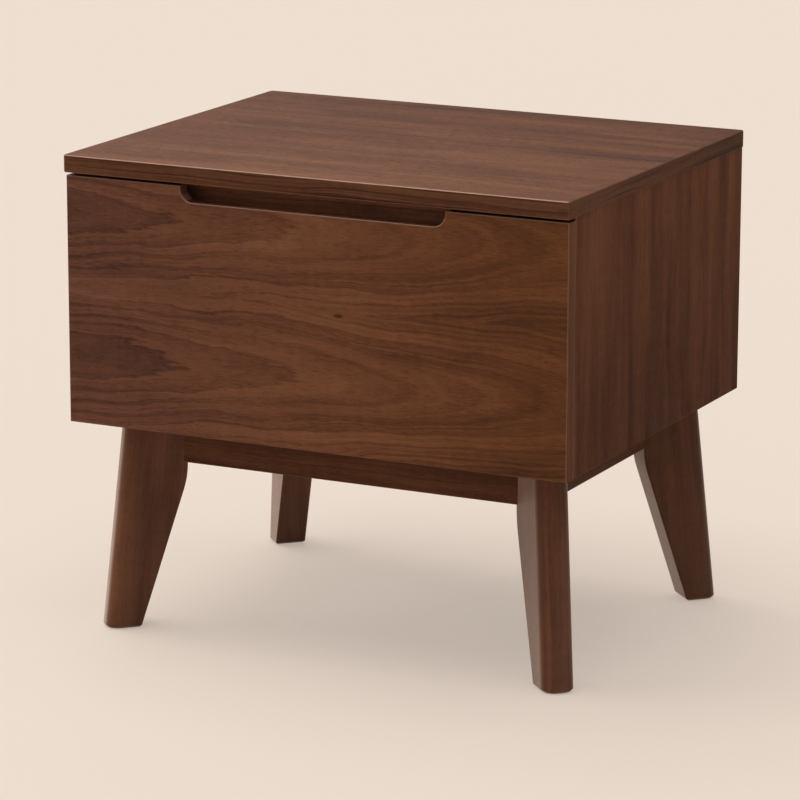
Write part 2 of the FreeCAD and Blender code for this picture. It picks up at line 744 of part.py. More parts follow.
def cut_sockets(body, rows):
    """Cuts the sockets for the tails into a board's two ends."""
    for sign in SIDES.values():
        sockets = sketch_on(body, "YZ_Plane", f"{sign}*{BOX_HALF}")
        for tail in rows:
            outline(sockets, tail)
        cut(body, sockets, "box_thick", sign < 0)


def build_box_front_and_back():
    """The drawer box's front, grooved for the bottom, and its back, which stands on the bottom."""
    front = board(
        "box_front",
        (f"-{BOX_HALF}", BOX_HALF),
        (FRONT_BACK, BOX_FRONT_INNER),
        (BOX_BASE, BOX_TOP),
    )
    groove = sketch_on(front, "XZ_Plane", f"-{BOX_FRONT_INNER}")
    rectangle(groove, (f"-{BOX_INNER_HALF}", BOX_INNER_HALF), (BOX_BOTTOM_BASE, BOX_BOTTOM_TOP))
    cut(front, groove, "groove_deep", True)
    back = board(
        "box_back",
        (f"-{BOX_HALF}", BOX_HALF),
        (BOX_BACK_INNER, BOX_BACK),
        (BOX_BOTTOM_TOP, BOX_TOP),
    )
    for body, rows in ((front, FRONT_TAILS), (back, BACK_TAILS)):
        cut_sockets(body, rows)
        ease_box_top(body)


def build_box_bottom():
    """The drawer bottom, in the grooves of the sides and front."""
    half = f"({BOX_INNER_HALF} + groove_deep - groove_play)"
    board(
        "box_bottom",
        (f"-{half}", half),
        (f"({BOX_FRONT_INNER} - groove_deep + groove_play)", BOX_BACK),
        (BOX_BOTTOM_BASE, BOX_BOTTOM_TOP),
    )


def build_bumpers():
    """Soft bumpers behind the drawer front, which meet the side panels' front edges."""
    bumper = new_body("bumper", kept=False)
    sketch = sketch_on(bumper, "XY_Plane")
    half = "bumper_wide/2"
    rectangle(sketch, (f"-{half}", half), (f"-{half}", half))
    pad(bumper, sketch, "front_gap - seat_play")
    height = f"{FRONT_TOP} - bumper_drop"
    places = [
        ((f"{sign}*({CASE_HALF} - bumper_inset - {half})", FRONT_BACK, height), Vector(0, 1, 0))
        for sign in SIDES.values()
    ]
    copies("drawer_bumpers", bumper, places)


# ---- Runners ---------------------------------------------------------------

BALL_RACE = "race_radius"
RACE_OUTSIDE = "(race_radius + steel_thick)"
OUTER_BALL = ("(steel_thick + race_radius)", f"(runner_tall/2 - {RACE_OUTSIDE})")
MIDDLE_TOP = f"({OUTER_BALL[1]} - {BALL_RACE})"
INNER_BALL = ("inner_race_deep", f"({MIDDLE_TOP} - {RACE_OUTSIDE})")
DRAWER_MEMBER_TOP = f"({INNER_BALL[1]} - {BALL_RACE})"
INSIDE_BEND = "(bend_radius - steel_thick)"
RUNNER_TRAVEL = f"({RUNNER_LONG} - runner_reserve)"
CAGE_LONG = f"({RUNNER_LONG} - {RUNNER_TRAVEL}/2 - 2*cage_margin)"
CAGE_FRONT = f"({RUNNER_FRONT} + {RUNNER_TRAVEL}/4 + cage_margin)"
CAGE_MIDDLE = f"({CAGE_FRONT} + {CAGE_LONG}/2)"
MEMBER_MIDDLE = f"({RUNNER_FRONT} + {RUNNER_LONG}/2)"
FIXINGS = [
    (f"{RUNNER_FRONT} + fixing_inset", RUNNER_MIDDLE),
    (f"{RUNNER_BACK} - fixing_inset", RUNNER_MIDDLE),
]


def on_race(ball, radius, angle):
    """A point on a ball race, at an angle from the inward level, with its radius."""
    return f"{ball[0]} + {radius}*cos({angle})", f"{ball[1]} + {radius}*sin({angle})"


def case_member_half():
    """Upper half of the case member's section: a web that curls over the outer ball row."""
    level = OUTER_BALL[1]
    return [
        ("0", level, RACE_OUTSIDE, -1),
        on_race(OUTER_BALL, RACE_OUTSIDE, "case_curl"),
        (*on_race(OUTER_BALL, BALL_RACE, "case_curl"), BALL_RACE, 1),
        ("steel_thick", level),
    ]


def middle_member_half():
    """Upper half of the middle member's section: under the outer balls, curled over the inner."""
    web, web_inside = "middle_web_deep", "(middle_web_deep + steel_thick)"
    flange = f"({MIDDLE_TOP} - steel_thick)"
    return [
        (web, f"{MIDDLE_TOP} - bend_radius", "bend_radius", -1),
        (f"{web} + bend_radius", MIDDLE_TOP),
        (INNER_BALL[0], MIDDLE_TOP, RACE_OUTSIDE, -1),
        on_race(INNER_BALL, RACE_OUTSIDE, "middle_curl"),
        (*on_race(INNER_BALL, BALL_RACE, "middle_curl"), BALL_RACE, 1),
        (INNER_BALL[0], flange),
        (f"{web_inside} + {INSIDE_BEND}", flange, INSIDE_BEND, 1),
        (web_inside, f"{flange} - {INSIDE_BEND}"),
    ]


def drawer_member_half():
    """Upper half of the drawer member's section: a flange that cups the inner balls from below."""
    web, web_inside = "runner_deep", "(runner_deep - steel_thick)"
    flange = f"({DRAWER_MEMBER_TOP} - steel_thick)"
    return [
        (web, f"{DRAWER_MEMBER_TOP} - bend_radius", "bend_radius", 1),
        (f"{web} - bend_radius", DRAWER_MEMBER_TOP),
        (INNER_BALL[0], DRAWER_MEMBER_TOP, BALL_RACE, -1),
        on_race(INNER_BALL, BALL_RACE, "drawer_curl"),
        (*on_race(INNER_BALL, RACE_OUTSIDE, "drawer_curl"), RACE_OUTSIDE, 1),
        (INNER_BALL[0], flange),
        (f"{web_inside} - {INSIDE_BEND}", flange, INSIDE_BEND, -1),
        (web_inside, f"{flange} - {INSIDE_BEND}"),
    ]


def cage_half(web, ball):
    """Upper half of a ball cage's section: a web with a flange through the balls' centres."""
    over, under = f"{ball[1]} + cage_thick/2", f"{ball[1]} - cage_thick/2"
    tip = f"{ball[0]} + cage_lip"
    return [(web, over), (tip, over), (tip, under), (f"{web} + cage_thick", under)]


def whole_section(half, sign):
    """Mirrors an upper half section about the runner's middle and sets it beside the case side."""

    def place(x, y, flip):
        return f"{sign}*({INNER_HALF} - ({x}))", f"{RUNNER_MIDDLE} + {flip}*({y})"

    upper = [(*place(corner[0], corner[1], 1), *corner[2:]) for corner in half]
    lower = []
    for index in range(len(half) - 1, -1, -1):
        before = half[index - 1] if index else ()
        lower.append((*place(half[index][0], half[index][1], -1), *before[2:]))
    return [(*corner[:3], -sign * corner[3]) if len(corner) > 2 else corner for corner in upper + lower]


def rolled(label, half, sign, near, long):
    """A length of one section, from the place near towards the back."""
    body = new_body(label)
    sketch = sketch_on(body, "XZ_Plane", f"-({near} + {long})")
    outline(sketch, whole_section(half, sign))
    pad(body, sketch, long)
    return body


def build_members(side, sign):
    """A runner's case member and drawer member with their screw holes, and its middle member with
    windows in its web."""
    for name, half, deep in (
        ("case_member", case_member_half(), "steel_thick"),
        ("drawer_member", drawer_member_half(), "runner_deep"),
    ):
        body = rolled(f"runner_{side}_{name}", half, sign, RUNNER_FRONT, RUNNER_LONG)
        web_face = f"{sign}*({INNER_HALF} - {deep})"
        drill(body, "YZ_Plane", web_face, FIXINGS, "fixing_radius", "steel_thick", sign > 0)
    middle = rolled(
        f"runner_{side}_middle_member", middle_member_half(), sign, RUNNER_FRONT, RUNNER_LONG
    )
    windows = sketch_on(middle, "YZ_Plane", f"{sign}*({INNER_HALF} - middle_web_deep - steel_thick)")
    for step in (-1, 1):
        centre = f"{MEMBER_MIDDLE} + {step}*window_spread/2"
        rectangle(
            windows,
            (f"{centre} - window_long/2", f"{centre} + window_long/2"),
            (f"{RUNNER_MIDDLE} - window_tall/2", f"{RUNNER_MIDDLE} + window_tall/2"),
        )
    cut(middle, windows, "steel_thick", sign > 0)


def build_cages(side, sign):
    """A runner's two ball cages, with a row of ball pockets along each flange."""
    reach = "(ball_radius + pocket_play)"
    for name, web, ball in (
        ("outer_cage", "outer_cage_deep", OUTER_BALL),
        ("inner_cage", "inner_cage_deep", INNER_BALL),
    ):
        body = rolled(f"runner_{side}_{name}", cage_half(web, ball), sign, CAGE_FRONT, CAGE_LONG)
        for flip in (-1, 1):
            pockets = sketch_on(body, "XY_Plane", f"{RUNNER_MIDDLE} + {flip}*{ball[1]} + {reach}")
            for index in range(BALLS):
                centre = f"{CAGE_MIDDLE} + {2 * index - BALLS + 1}*ball_pitch/2"
                rectangle(
                    pockets,
                    (
                        f"{sign}*({INNER_HALF} - {ball[0]} + {reach})",
                        f"{sign}*({INNER_HALF} - {ball[0]} - {reach})",
                    ),
                    (f"{centre} - {reach}", f"{centre} + {reach}"),
                )
            cut(body, pockets, f"2*{reach}", False)


# ---- Whole stand -----------------------------------------------------------


def build():
    """Builds every piece of the stand."""
    build_top()
    for side, sign in SIDES.items():
        build_side(side, sign)
    build_bottom()
    build_back()
    build_stretchers()
    build_dowels()
    for end, side in CORNERS:
        build_leg(end, side)
        build_block(end, side)
    build_rails()
    build_base_fasteners()
    build_drawer_front()
    build_box_sides()
    build_box_front_and_back()
    build_box_bottom()
    build_bumpers()
    for side, sign in SIDES.items():
        build_members(side, sign)
        build_cages(side, sign)
    doc.recompute()


def check():
    """Stops before anything is written if a feature failed or a shape is unsound."""
    for item in doc.Objects:
        if "Invalid" in item.State or "Error" in item.State:
            raise RuntimeError(f"{item.Label} did not compute: {item.State}")
    for part in parts:
        if part.Shape.isNull() or not part.Shape.isValid():
            raise RuntimeError(f"{part.Label} has no valid shape")


def write():
    """Writes each piece's shape to parts/NODE.step."""
    os.makedirs("parts", exist_ok=True)
    for part in parts:
        part.Shape.exportStep(f"parts/{part.Label}.step")
        box = part.Shape.BoundBox
        print(f"{part.Label:28s} solids {len(part.Shape.Solids):2d}  volume {part.Shape.Volume:12.1f}  "
              f"X {box.XMin:8.2f} {box.XMax:8.2f}  Y {box.YMin:8.2f} {box.YMax:8.2f}  "
              f"Z {box.ZMin:7.2f} {box.ZMax:7.2f}")


build()
check()
write()
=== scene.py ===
"""Looks of a walnut bedside cabinet: one drawer on ball-bearing runners, over a recessed leg frame.

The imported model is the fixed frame. Its wood, steel and plastic parts get procedural finishes here,
and the fasteners and bearing balls that are too small for the frame are built as numeric surfaces.
Lengths are in metres, in the frame's own axes: X to the right, Y to the back and Z up.
"""

import logging
import math
from collections.abc import Callable
from dataclasses import dataclass
from enum import Enum
from functools import cache

import bpy
import numpy as np
from mathutils import Euler, Matrix, Vector


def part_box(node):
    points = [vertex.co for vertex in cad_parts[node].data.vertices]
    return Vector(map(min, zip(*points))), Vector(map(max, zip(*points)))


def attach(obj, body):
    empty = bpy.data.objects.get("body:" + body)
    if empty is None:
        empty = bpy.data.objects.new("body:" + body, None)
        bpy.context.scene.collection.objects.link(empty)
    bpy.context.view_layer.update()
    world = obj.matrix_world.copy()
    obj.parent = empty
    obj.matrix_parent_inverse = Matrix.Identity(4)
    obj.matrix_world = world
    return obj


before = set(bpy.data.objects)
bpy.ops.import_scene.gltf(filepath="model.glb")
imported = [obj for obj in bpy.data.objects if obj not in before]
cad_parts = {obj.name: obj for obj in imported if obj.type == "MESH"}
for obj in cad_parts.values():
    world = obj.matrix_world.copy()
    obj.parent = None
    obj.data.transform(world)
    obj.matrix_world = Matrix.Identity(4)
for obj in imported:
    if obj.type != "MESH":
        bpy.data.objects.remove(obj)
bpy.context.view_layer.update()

LOG = logging.getLogger("bedside_cabinet")
MM = 0.001
TO_MM = (1000.0, 1000.0, 1000.0)
ENDS = (("front", -1), ("back", 1))
SIDES = (("left", -1), ("right", 1))

Colour = tuple[float, float, float]
Point = tuple[float, float, float]
Material = bpy.types.Material
Socket = bpy.types.NodeSocket
Tree = bpy.types.NodeTree
Plug = Socket | float | Point

# The kinds of the shader groups' sockets. All others are numbers.
VECTORS = ("Place", "Normal", "Lay", "Draw")
COLOURS = ("Color", "Pale", "Middle", "Dark", "Light", "Shade")

WHITE = (1.0, 1.0, 1.0)
WALNUT = ((0.252, 0.104, 0.052), (0.158, 0.061, 0.0305), (0.071, 0.0305, 0.0195))
PORE = (0.012, 0.006, 0.004)
PIN_KNOT = (0.03, 0.013, 0.008)
LACQUER_GLOW = (1.0, 0.83, 0.72)
EDGE_PORES = 0.2
ARRIS_SHEEN = 0.15
BEECH = ((0.60, 0.40, 0.25), (0.42, 0.25, 0.14))
DRAWER_WOOD = ((0.58, 0.40, 0.24), (0.44, 0.28, 0.15))

# The flame figure's arches: ring radius in millimetres, the dark just inside it, the pale just outside.
FLAME_ARCHES = (
    (37.6, 0.84, 0.36), (44.8, 0.94, 0.30), (52.5, 0.72, 0.40), (60.5, 0.80, 0.34),
    (66.5, 0.62, 0.36), (71.0, 0.70, 0.32), (75.0, 0.82, 0.32), (78.5, 0.66, 0.28),
    (82.0, 0.88, 0.40), (86.0, 0.94, 0.44), (90.0, 0.80, 0.40),
)
FLAME_REACH = (26.0, 96.0)


# -------- Shader building --------


class Sheet:
    """One shader tree, with short calls that add a node, set it up and wire it."""

    def __init__(self, tree: Tree) -> None:
        """Keeps the tree that the nodes go into."""
        self.tree = tree

    def feed(self, socket: Socket, source: Plug) -> None:
        """Wires a socket to another one, or sets its value.

        Args:
            socket: the input to feed.
            source: an output socket, a number or a tuple.
        """
        if isinstance(source, Socket):
            self.tree.links.new(source, socket)
        elif isinstance(source, tuple) and socket.type == "RGBA":
            socket.default_value = (*source, 1.0)
        else:
            socket.default_value = source

    def node(self, kind: str, feeds: dict | tuple = (), **settings: object) -> bpy.types.Node:
        """Adds a node.

        Args:
            kind: the node's type, such as "Math".
            feeds: what feeds its inputs, in order, or by name or number.
            settings: attributes to set on it first.

        Returns:
            The new node.
        """
        made = self.tree.nodes.new(f"ShaderNode{kind}")
        for key, value in settings.items():
            setattr(made, key, value)
        for key, source in feeds.items() if isinstance(feeds, dict) else enumerate(feeds):
            self.feed(made.inputs[key], source)
        return made

    def use(self, group: Callable[[], Tree], **feeds: Plug) -> "bpy.types.NodeOutputs":
        """Places a shared group, with its inputs fed by name, and gives its outputs."""
        return self.node("Group", feeds, node_tree=group()).outputs

    def calc(self, operation: str, *terms: Plug, clamp: bool = False) -> Socket:
        """One Math node's value, held from 0 to 1 if it is clamped."""
        return self.node("Math", terms, operation=operation, use_clamp=clamp).outputs[0]

    def times(self, first: Plug, second: Plug) -> Socket:
        """The product of two values."""
        return self.calc("MULTIPLY", first, second)

    def line(self, value: Plug, slope: Plug, start: Plug, clamp: bool = False) -> Socket:
        """A start plus a value times a slope."""
        return self.calc("MULTIPLY_ADD", value, slope, start, clamp=clamp)

    def swing(self, share: Plug, reach: Plug, middle: Plug) -> Socket:
        """A value that goes from half the reach under the middle to half of it over the middle."""
        return self.line(self.calc("SUBTRACT", share, 0.5), reach, middle)

    def bell(self, value: Plug) -> Socket:
        """The exponential of minus the value's square."""
        return self.calc("EXPONENT", self.times(self.times(value, value), -1.0))

    def slant(self, first: Plug, second: Plug) -> Socket:
        """The root of the sum of two values' squares."""
        return self.calc("SQRT", self.line(first, first, self.times(second, second)))

    def vector(self, operation: str, *terms: Plug, result: str = "Vector") -> Socket:
        """One Vector Math node's vector, or the Value that it gives, such as a LENGTH."""
        return self.node("VectorMath", terms, operation=operation).outputs[result]

    def split(self, source: Plug) -> list[Socket]:
        """The three parts of a vector."""
        return list(self.node("SeparateXYZ", (source,)).outputs)

    def join(self, x: Plug, y: Plug, z: Plug) -> Socket:
        """A vector from three values."""
        return self.node("CombineXYZ", (x, y, z)).outputs[0]

    def turned(self, place: Socket, degrees: Point) -> Socket:
        """A place or normal, read in axes that are turned by these angles."""
        feeds = {"Vector": place, "Rotation": tuple(math.radians(angle) for angle in degrees)}
        return self.node("Mapping", feeds, vector_type="TEXTURE").outputs[0]

    def noise(self, place: Plug, detail: float, rough: float = 0.5) -> Socket:
        """Smooth noise from 0 to 1, one cell for each unit of the place, with finer layers added."""
        feeds = {"Vector": place, "Scale": 1.0, "Detail": detail, "Roughness": rough}
        return self.node("TexNoise", feeds, noise_dimensions="3D").outputs[0]

    def cells(self, lay: tuple, sizes: Point, shifts: tuple, detail: float, rough: float = 0.5) -> Socket:
        """Noise in cells of these sizes over the three parts of a place, each shifted by cells."""
        parts = [self.line(part, 1 / size, shift) for part, size, shift in zip(lay, sizes, shifts)]
        return self.noise(self.join(*parts), detail, rough)

    def between(self, value: Plug, low: Plug, high: Plug, kind: str = "SMOOTHSTEP") -> Socket:
        """A value's share of the way from low to high, held from 0 to 1, eased unless LINEAR."""
        feeds = {"Value": value, "From Min": low, "From Max": high}
        return self.node("MapRange", feeds, interpolation_type=kind, clamp=True).outputs[0]

    def mix(self, share: Plug, first: Plug, second: Plug, blend: str = "MIX") -> Socket:
        """Two colours mixed, the first at a share of 0."""
        feeds = {0: share, 6: first, 7: second}
        return self.node("Mix", feeds, data_type="RGBA", blend_type=blend).outputs[2]

    def mix_places(self, share: Plug, first: Plug, second: Plug) -> Socket:
        """Two vectors mixed, the first at a share of 0."""
        return self.node("Mix", {0: share, 4: first, 5: second}, data_type="VECTOR").outputs[1]

    def ramp(self, share: Plug, stops: list[tuple[float, float]]) -> Socket:
        """A ramp of greys.

        Args:
            share: the place on it, from 0 to 1.
            stops: pairs of a place and a grey, in order.

        Returns:
            The colour socket.
        """
        made = self.node("ValToRGB", (share,))
        elements = made.color_ramp.elements
        while len(elements) < len(stops):
            elements.new(0.5)
        for element, (place, _) in zip(elements, stops):
            element.position = place
        for element, (_, grey) in zip(elements, stops):
            element.color = (grey, grey, grey, 1.0)
        return made.outputs[0]


class Group(Sheet):
    """The tree of a shader node group that several finishes share."""

    def __init__(self, name: str, inputs: str, outputs: str) -> None:
        """Makes the group with its sockets.

        Args:
            name: the group's name.
            inputs: the names of its inputs.
            outputs: the names of its outputs.
        """
        super().__init__(bpy.data.node_groups.new(name, "ShaderNodeTree"))
        for way, names in (("INPUT", inputs), ("OUTPUT", outputs)):
            for key in names.split():
                kind = "Vector" if key in VECTORS else "Color" if key in COLOURS else "Float"
                self.tree.interface.new_socket(name=key, in_out=way, socket_type=f"NodeSocket{kind}")
        self.given = self.tree.nodes.new("NodeGroupInput").outputs
        self.results = self.tree.nodes.new("NodeGroupOutput").inputs

    def give(self, **sources: Plug) -> Tree:
        """Feeds the group's outputs.

        Args:
            sources: each output's name and what feeds it.

        Returns:
            The finished tree.
        """
        for key, source in sources.items():
            self.feed(self.results[key], source)
        return self.tree


# -------- Shader groups, each built once --------


@cache
def veneer_lay() -> Tree:
    """Turns object coordinates into along, across and depth, in millimetres, on a banded board.

    The board's faces keep their grain. On its two ends the along direction would point into the
    face, so there the banding's grain takes the across direction, as an edge strip is laid. Edge
    is 1 on all four of the board's edges. The strip's pattern is shifted away from the faces'.

    Returns:
        The group's tree.
    """
    shift = 37.0
    sheet = Group("veneer_lay", "Place Normal", "Lay Edge")
    scaled = sheet.vector("MULTIPLY", sheet.given["Place"], TO_MM)
    along, across, deep = sheet.split(scaled)
    end_on, _, flat = sheet.split(sheet.vector("ABSOLUTE", sheet.given["Normal"]))
    strip = sheet.join(across, deep, sheet.calc("ADD", along, shift))
    on_end = sheet.calc("GREATER_THAN", end_on, 0.8)
    return sheet.give(Lay=sheet.mix_places(on_end, scaled, strip), Edge=sheet.calc("LESS_THAN", flat, 0.3))


@cache
def straight_rings() -> Tree:
    """Growth rings cut nearly straight: the across place, bent by slow wander along the board.

    Seed sets one board's rings apart from another's, and Band is where wide dark bands lie.

    Returns:
        The group's tree.
    """
    depth_slope, seed_step = 1.3, 31.0
    sheet = Group("straight_rings", "Lay Wander Pitch Seed", "Ring Band")
    given, seed = sheet.given, sheet.given["Seed"]
    lay = along, across, deep = sheet.split(given["Lay"])
    slow = sheet.cells(lay, (190.0, 70.0, 70.0), (seed, 0.0, 0.0), 2.0)
    bent = sheet.swing(slow, given["Wander"], across)
    ring = sheet.calc("DIVIDE", sheet.line(deep, depth_slope, bent), given["Pitch"])
    wide = sheet.cells((along, ring, seed), (260.0, 17.0, 1.0), (seed, 0.0, 0.0), 3.0, 0.6)
    return sheet.give(Ring=sheet.line(seed, seed_step, ring), Band=sheet.between(wide, 0.36, 0.66))


@cache
def flame_rings() -> Tree:
    """Growth rings of two mirrored leaves of flat-cut veneer, joined along the board's middle.

    Each leaf is cut through cones of wood. A ring's radius is the root of the across distance from
    the leaf's heart, squared, plus the depth of the cone there, squared, and the depth grows along
    the board, so that the rings close in pointed arches. Their edges are most ragged where the
    arches close. Across the board's middle the bands are painted paler, a painted pool of light.
    Near the joint a pin knot pushes the lines aside by a bell curve.

    Returns:
        The group's tree.
    """
    joint, joint_round, leaf, depth, taper = 335.0, 3.0, 66.0, 45.6, 0.0637
    knot_along, knot_across, knot_length, knot_width, push = 27.5, 328.0, 16.0, 5.5, 0.8
    wander, lean, arch_edge, contrast = 26.0, -0.012, 0.009, 1.7
    sheet = Group("flame_rings", "Lay", "Ring Band Knot")
    lay = along, across, _ = sheet.split(sheet.given["Lay"])
    off_knot = sheet.join(
        sheet.calc("DIVIDE", sheet.calc("SUBTRACT", along, knot_along), knot_length),
        sheet.calc("DIVIDE", sheet.calc("SUBTRACT", across, knot_across), knot_width),
        0.0,
    )
    far = sheet.vector("LENGTH", off_knot, result="Value")
    pushed = sheet.times(sheet.calc("SUBTRACT", knot_across, across), sheet.bell(far))

    slow = sheet.cells(lay, (150.0, 55.0, 90.0), (0.0, 0.0, 4.7), 2.0)
    wavy = sheet.line(pushed, push, sheet.swing(slow, wander, across))
    off_joint = sheet.calc("SUBTRACT", sheet.line(along, lean, wavy), joint)
    off_heart = sheet.calc("SUBTRACT", sheet.slant(off_joint, joint_round), leaf)
    radius = sheet.slant(off_heart, sheet.line(along, taper, depth))
    ragged = sheet.cells(lay, (34.0, 4.5, 40.0), (0.0, 0.0, 0.0), 4.0, 0.65)
    torn = sheet.line(sheet.between(along, -80.0, 110.0), -4.2, 6.5)
    radius = sheet.swing(ragged, torn, radius)

    near, last = FLAME_REACH
    stops = []
    for ring, dark, pale in FLAME_ARCHES:
        place = (ring - near) / (last - near)
        stops += [(place - arch_edge, dark), (place + arch_edge, pale)]
    band = sheet.calc("POWER", sheet.ramp(sheet.between(radius, near, last, "LINEAR"), stops), contrast)
    # painted light: a pale band across the board's middle, where a lamp's light pools
    bright = sheet.bell(sheet.line(along, 1 / 130.0, 0.05))
    return sheet.give(
        Ring=sheet.times(radius, 1.35),
        Band=sheet.line(bright, -0.44, sheet.calc("ADD", band, 0.25)),
        Knot=sheet.calc("SUBTRACT", 1.0, sheet.between(far, 0.12, 0.42)),
    )


@cache
def walnut_figure() -> Tree:
    """Walnut's colour, roughness and relief from its lay and its ring value.

    Stripes follow the ring value, mottling and fibres follow the lay, and pores are short dark
    dashes along the grain. Drift is painted shade added to the tone. The tone goes from Pale through
    Middle to Dark.

    Returns:
        The group's tree.
    """
    inputs = "Lay Ring Band Seed Pale Middle Dark Stripes Mottle Bands Pores Drift"
    sheet = Group("walnut_figure", inputs, "Color Roughness Height")
    given, seed, stripes = sheet.given, sheet.given["Seed"], sheet.given["Stripes"]
    lay = sheet.split(given["Lay"])

    def grain(long: float, wide: float, shift: float, detail: float, rough: float = 0.5) -> Socket:
        """Noise in cells that are long along the grain and wide across it, in millimetres."""
        return sheet.cells(lay, (long, wide, wide), (seed, shift, seed), detail, rough)

    def stripe(long: float, wide: float, shift: float, detail: float, rough: float) -> Socket:
        """Noise that changes quickly with the ring value and slowly along the grain."""
        ringed = (lay[0], given["Ring"], seed)
        return sheet.cells(ringed, (long, wide, 1.0), (shift, 0.0, 0.0), detail, rough)

    lines = sheet.between(stripe(420.0, 2.3, 8.6, 2.0, 0.5), 0.56, 0.74)
    fibre = grain(11.0, 0.9, 9.4, 3.0, 0.65)
    pore = sheet.between(grain(8.0, 0.6, 2.7, 1.0), 0.6, 0.7)
    tone = sheet.swing(stripe(620.0, 11.0, 3.1, 3.0, 0.55), stripes, given["Drift"])
    tone = sheet.line(lines, sheet.times(stripes, 0.34), tone)
    tone = sheet.swing(stripe(150.0, 1.5, 1.9, 3.0, 0.6), sheet.times(stripes, 0.7), tone)
    tone = sheet.swing(grain(95.0, 21.0, 5.2, 3.0), given["Mottle"], tone)
    tone = sheet.line(sheet.calc("SUBTRACT", given["Band"], 0.4), given["Bands"], tone)
    shade = sheet.calc("ADD", sheet.swing(fibre, 0.7, tone), 0.46, clamp=True)

    low, high = (sheet.between(shade, start, start + 0.5, "LINEAR") for start in (0.0, 0.5))
    colour = sheet.mix(high, sheet.mix(low, given["Pale"], given["Middle"]), given["Dark"])
    colour = sheet.mix(sheet.times(pore, given["Pores"]), colour, PORE)
    ripple = sheet.swing(grain(7.5, 34.0, 7.1, 2.0), 0.22, 1.0)
    return sheet.give(
        Color=sheet.mix(1.0, colour, sheet.join(ripple, ripple, ripple), "MULTIPLY"),
        Roughness=sheet.line(pore, 0.12, sheet.line(fibre, 0.08, 0.44)),
        Height=sheet.line(pore, -0.7, sheet.times(fibre, 0.3)),
    )


@cache
def arris_painted_highlight() -> Tree:
    """Where a board's eased arrises get a painted highlight, from 0 on its faces to 1 on a chamfer.

    A face's normal lies along one axis, so its largest part is 1, and a chamfer's is less. The
    highlight is painted strongest on the arrises that face up, where light falls from above, weaker
    on the upright ones and weakest on the lower ones, in patches.

    Returns:
        The group's tree.
    """
    sheet = Group("arris_painted_highlight", "Place Normal", "Mask")
    normal = sheet.given["Normal"]
    x, y, z = sheet.split(sheet.vector("ABSOLUTE", normal))
    largest = sheet.calc("MAXIMUM", sheet.calc("MAXIMUM", x, y), z)
    turned = sheet.between(sheet.calc("SUBTRACT", 1.0, largest), 0.04, 0.2)
    # painted highlight: strongest on arrises that face up, where the light falls from above
    upward = sheet.between(sheet.split(normal)[2], -0.6, 0.6)
    patchy = sheet.noise(sheet.vector("MULTIPLY", sheet.given["Place"], (60.0, 60.0, 60.0)), 3.0)
    painted_highlight_share = sheet.times(turned, sheet.line(upward, 0.85, 0.15))
    return sheet.give(Mask=sheet.times(painted_highlight_share, sheet.line(patchy, 0.8, 0.5, clamp=True)))


@cache
def pale_timber() -> Tree:
    """Pale, close-grained timber: soft growth lines along the grain and short flecks.

    Returns:
        The group's tree.
    """
    sheet = Group("pale_timber", "Lay Light Shade Seed", "Color Roughness Height")
    given, seed = sheet.given, sheet.given["Seed"]
    lay = sheet.split(given["Lay"])
    rings, fibre, fleck = (
        sheet.cells(lay, (long, wide, wide), (seed, 0.0, seed), detail, 0.55)
        for long, wide, detail in ((210.0, 6.0, 3.0), (14.0, 0.6, 2.0), (2.6, 0.5, 1.0))
    )
    share = sheet.line(fibre, 0.35, sheet.times(rings, 0.75), clamp=True)
    mark = sheet.between(fleck, 0.64, 0.72)
    colour = sheet.mix(share, given["Light"], given["Shade"])
    return sheet.give(
        Color=sheet.mix(sheet.times(mark, 0.3), colour, given["Shade"]),
        Roughness=sheet.line(fibre, 0.14, 0.46),
        Height=sheet.line(mark, -0.5, fibre),
    )


@cache
def metal_marks() -> Tree:
    """Drawn steel's long fine scratches over slow blotches, both in object coordinates.

    Returns:
        The group's tree.
    """
    sheet = Group("metal_marks", "Place Draw", "Scratch Blotch")
    place = sheet.given["Place"]
    drawn = sheet.vector("MULTIPLY", place, sheet.given["Draw"])
    slow = sheet.vector("MULTIPLY", place, (140.0, 60.0, 140.0))
    return sheet.give(Scratch=sheet.noise(drawn, 3.0, 0.6), Blotch=sheet.noise(slow, 3.0, 0.55))


# -------- Finishes --------


class Surface(Sheet):
    """A material's tree, with its Principled shader wired to the output."""

    def __init__(self, name: str) -> None:
        """Makes the material.

        Args:
            name: its name.
        """
        self.material = bpy.data.materials.new(name)
        self.material.use_nodes = True
        super().__init__(self.material.node_tree)
        self.tree.nodes.clear()
        self.shader = self.node("BsdfPrincipled")
        self.output = self.node("OutputMaterial", {"Surface": self.shader.outputs[0]})
        self.own = self.node("TexCoord").outputs

    def finish(self, feeds: dict[str, Plug], height: Plug, distance: float, strength: float) -> Material:
        """Feeds the shader, its normal from a height through a Bump node.

        Args:
            feeds: the shader's input name to what feeds it.
            height: the relief, in shares of the distance.
            distance: how far a height of 1 stands out, in metres.
            strength: how much of the bump is used.

        Returns:
            The material.
        """
        bump = self.node("Bump", {"Strength": strength, "Distance": distance, "Height": height})
        for key, source in (feeds | {"Normal": bump.outputs[0]}).items():
            self.feed(self.shader.inputs[key], source)
        return self.material


class Grain(Enum):
    """The turn in degrees that lays X along a piece's grain, Y across it and Z into its depth."""

    ALONG_X = (0.0, 0.0, 0.0)
    UPRIGHT_SIDE = (0.0, -90.0, 0.0)
    FLAT_FRONT = (90.0, 0.0, 0.0)
    FLAT_SIDE = (90.0, 0.0, 90.0)


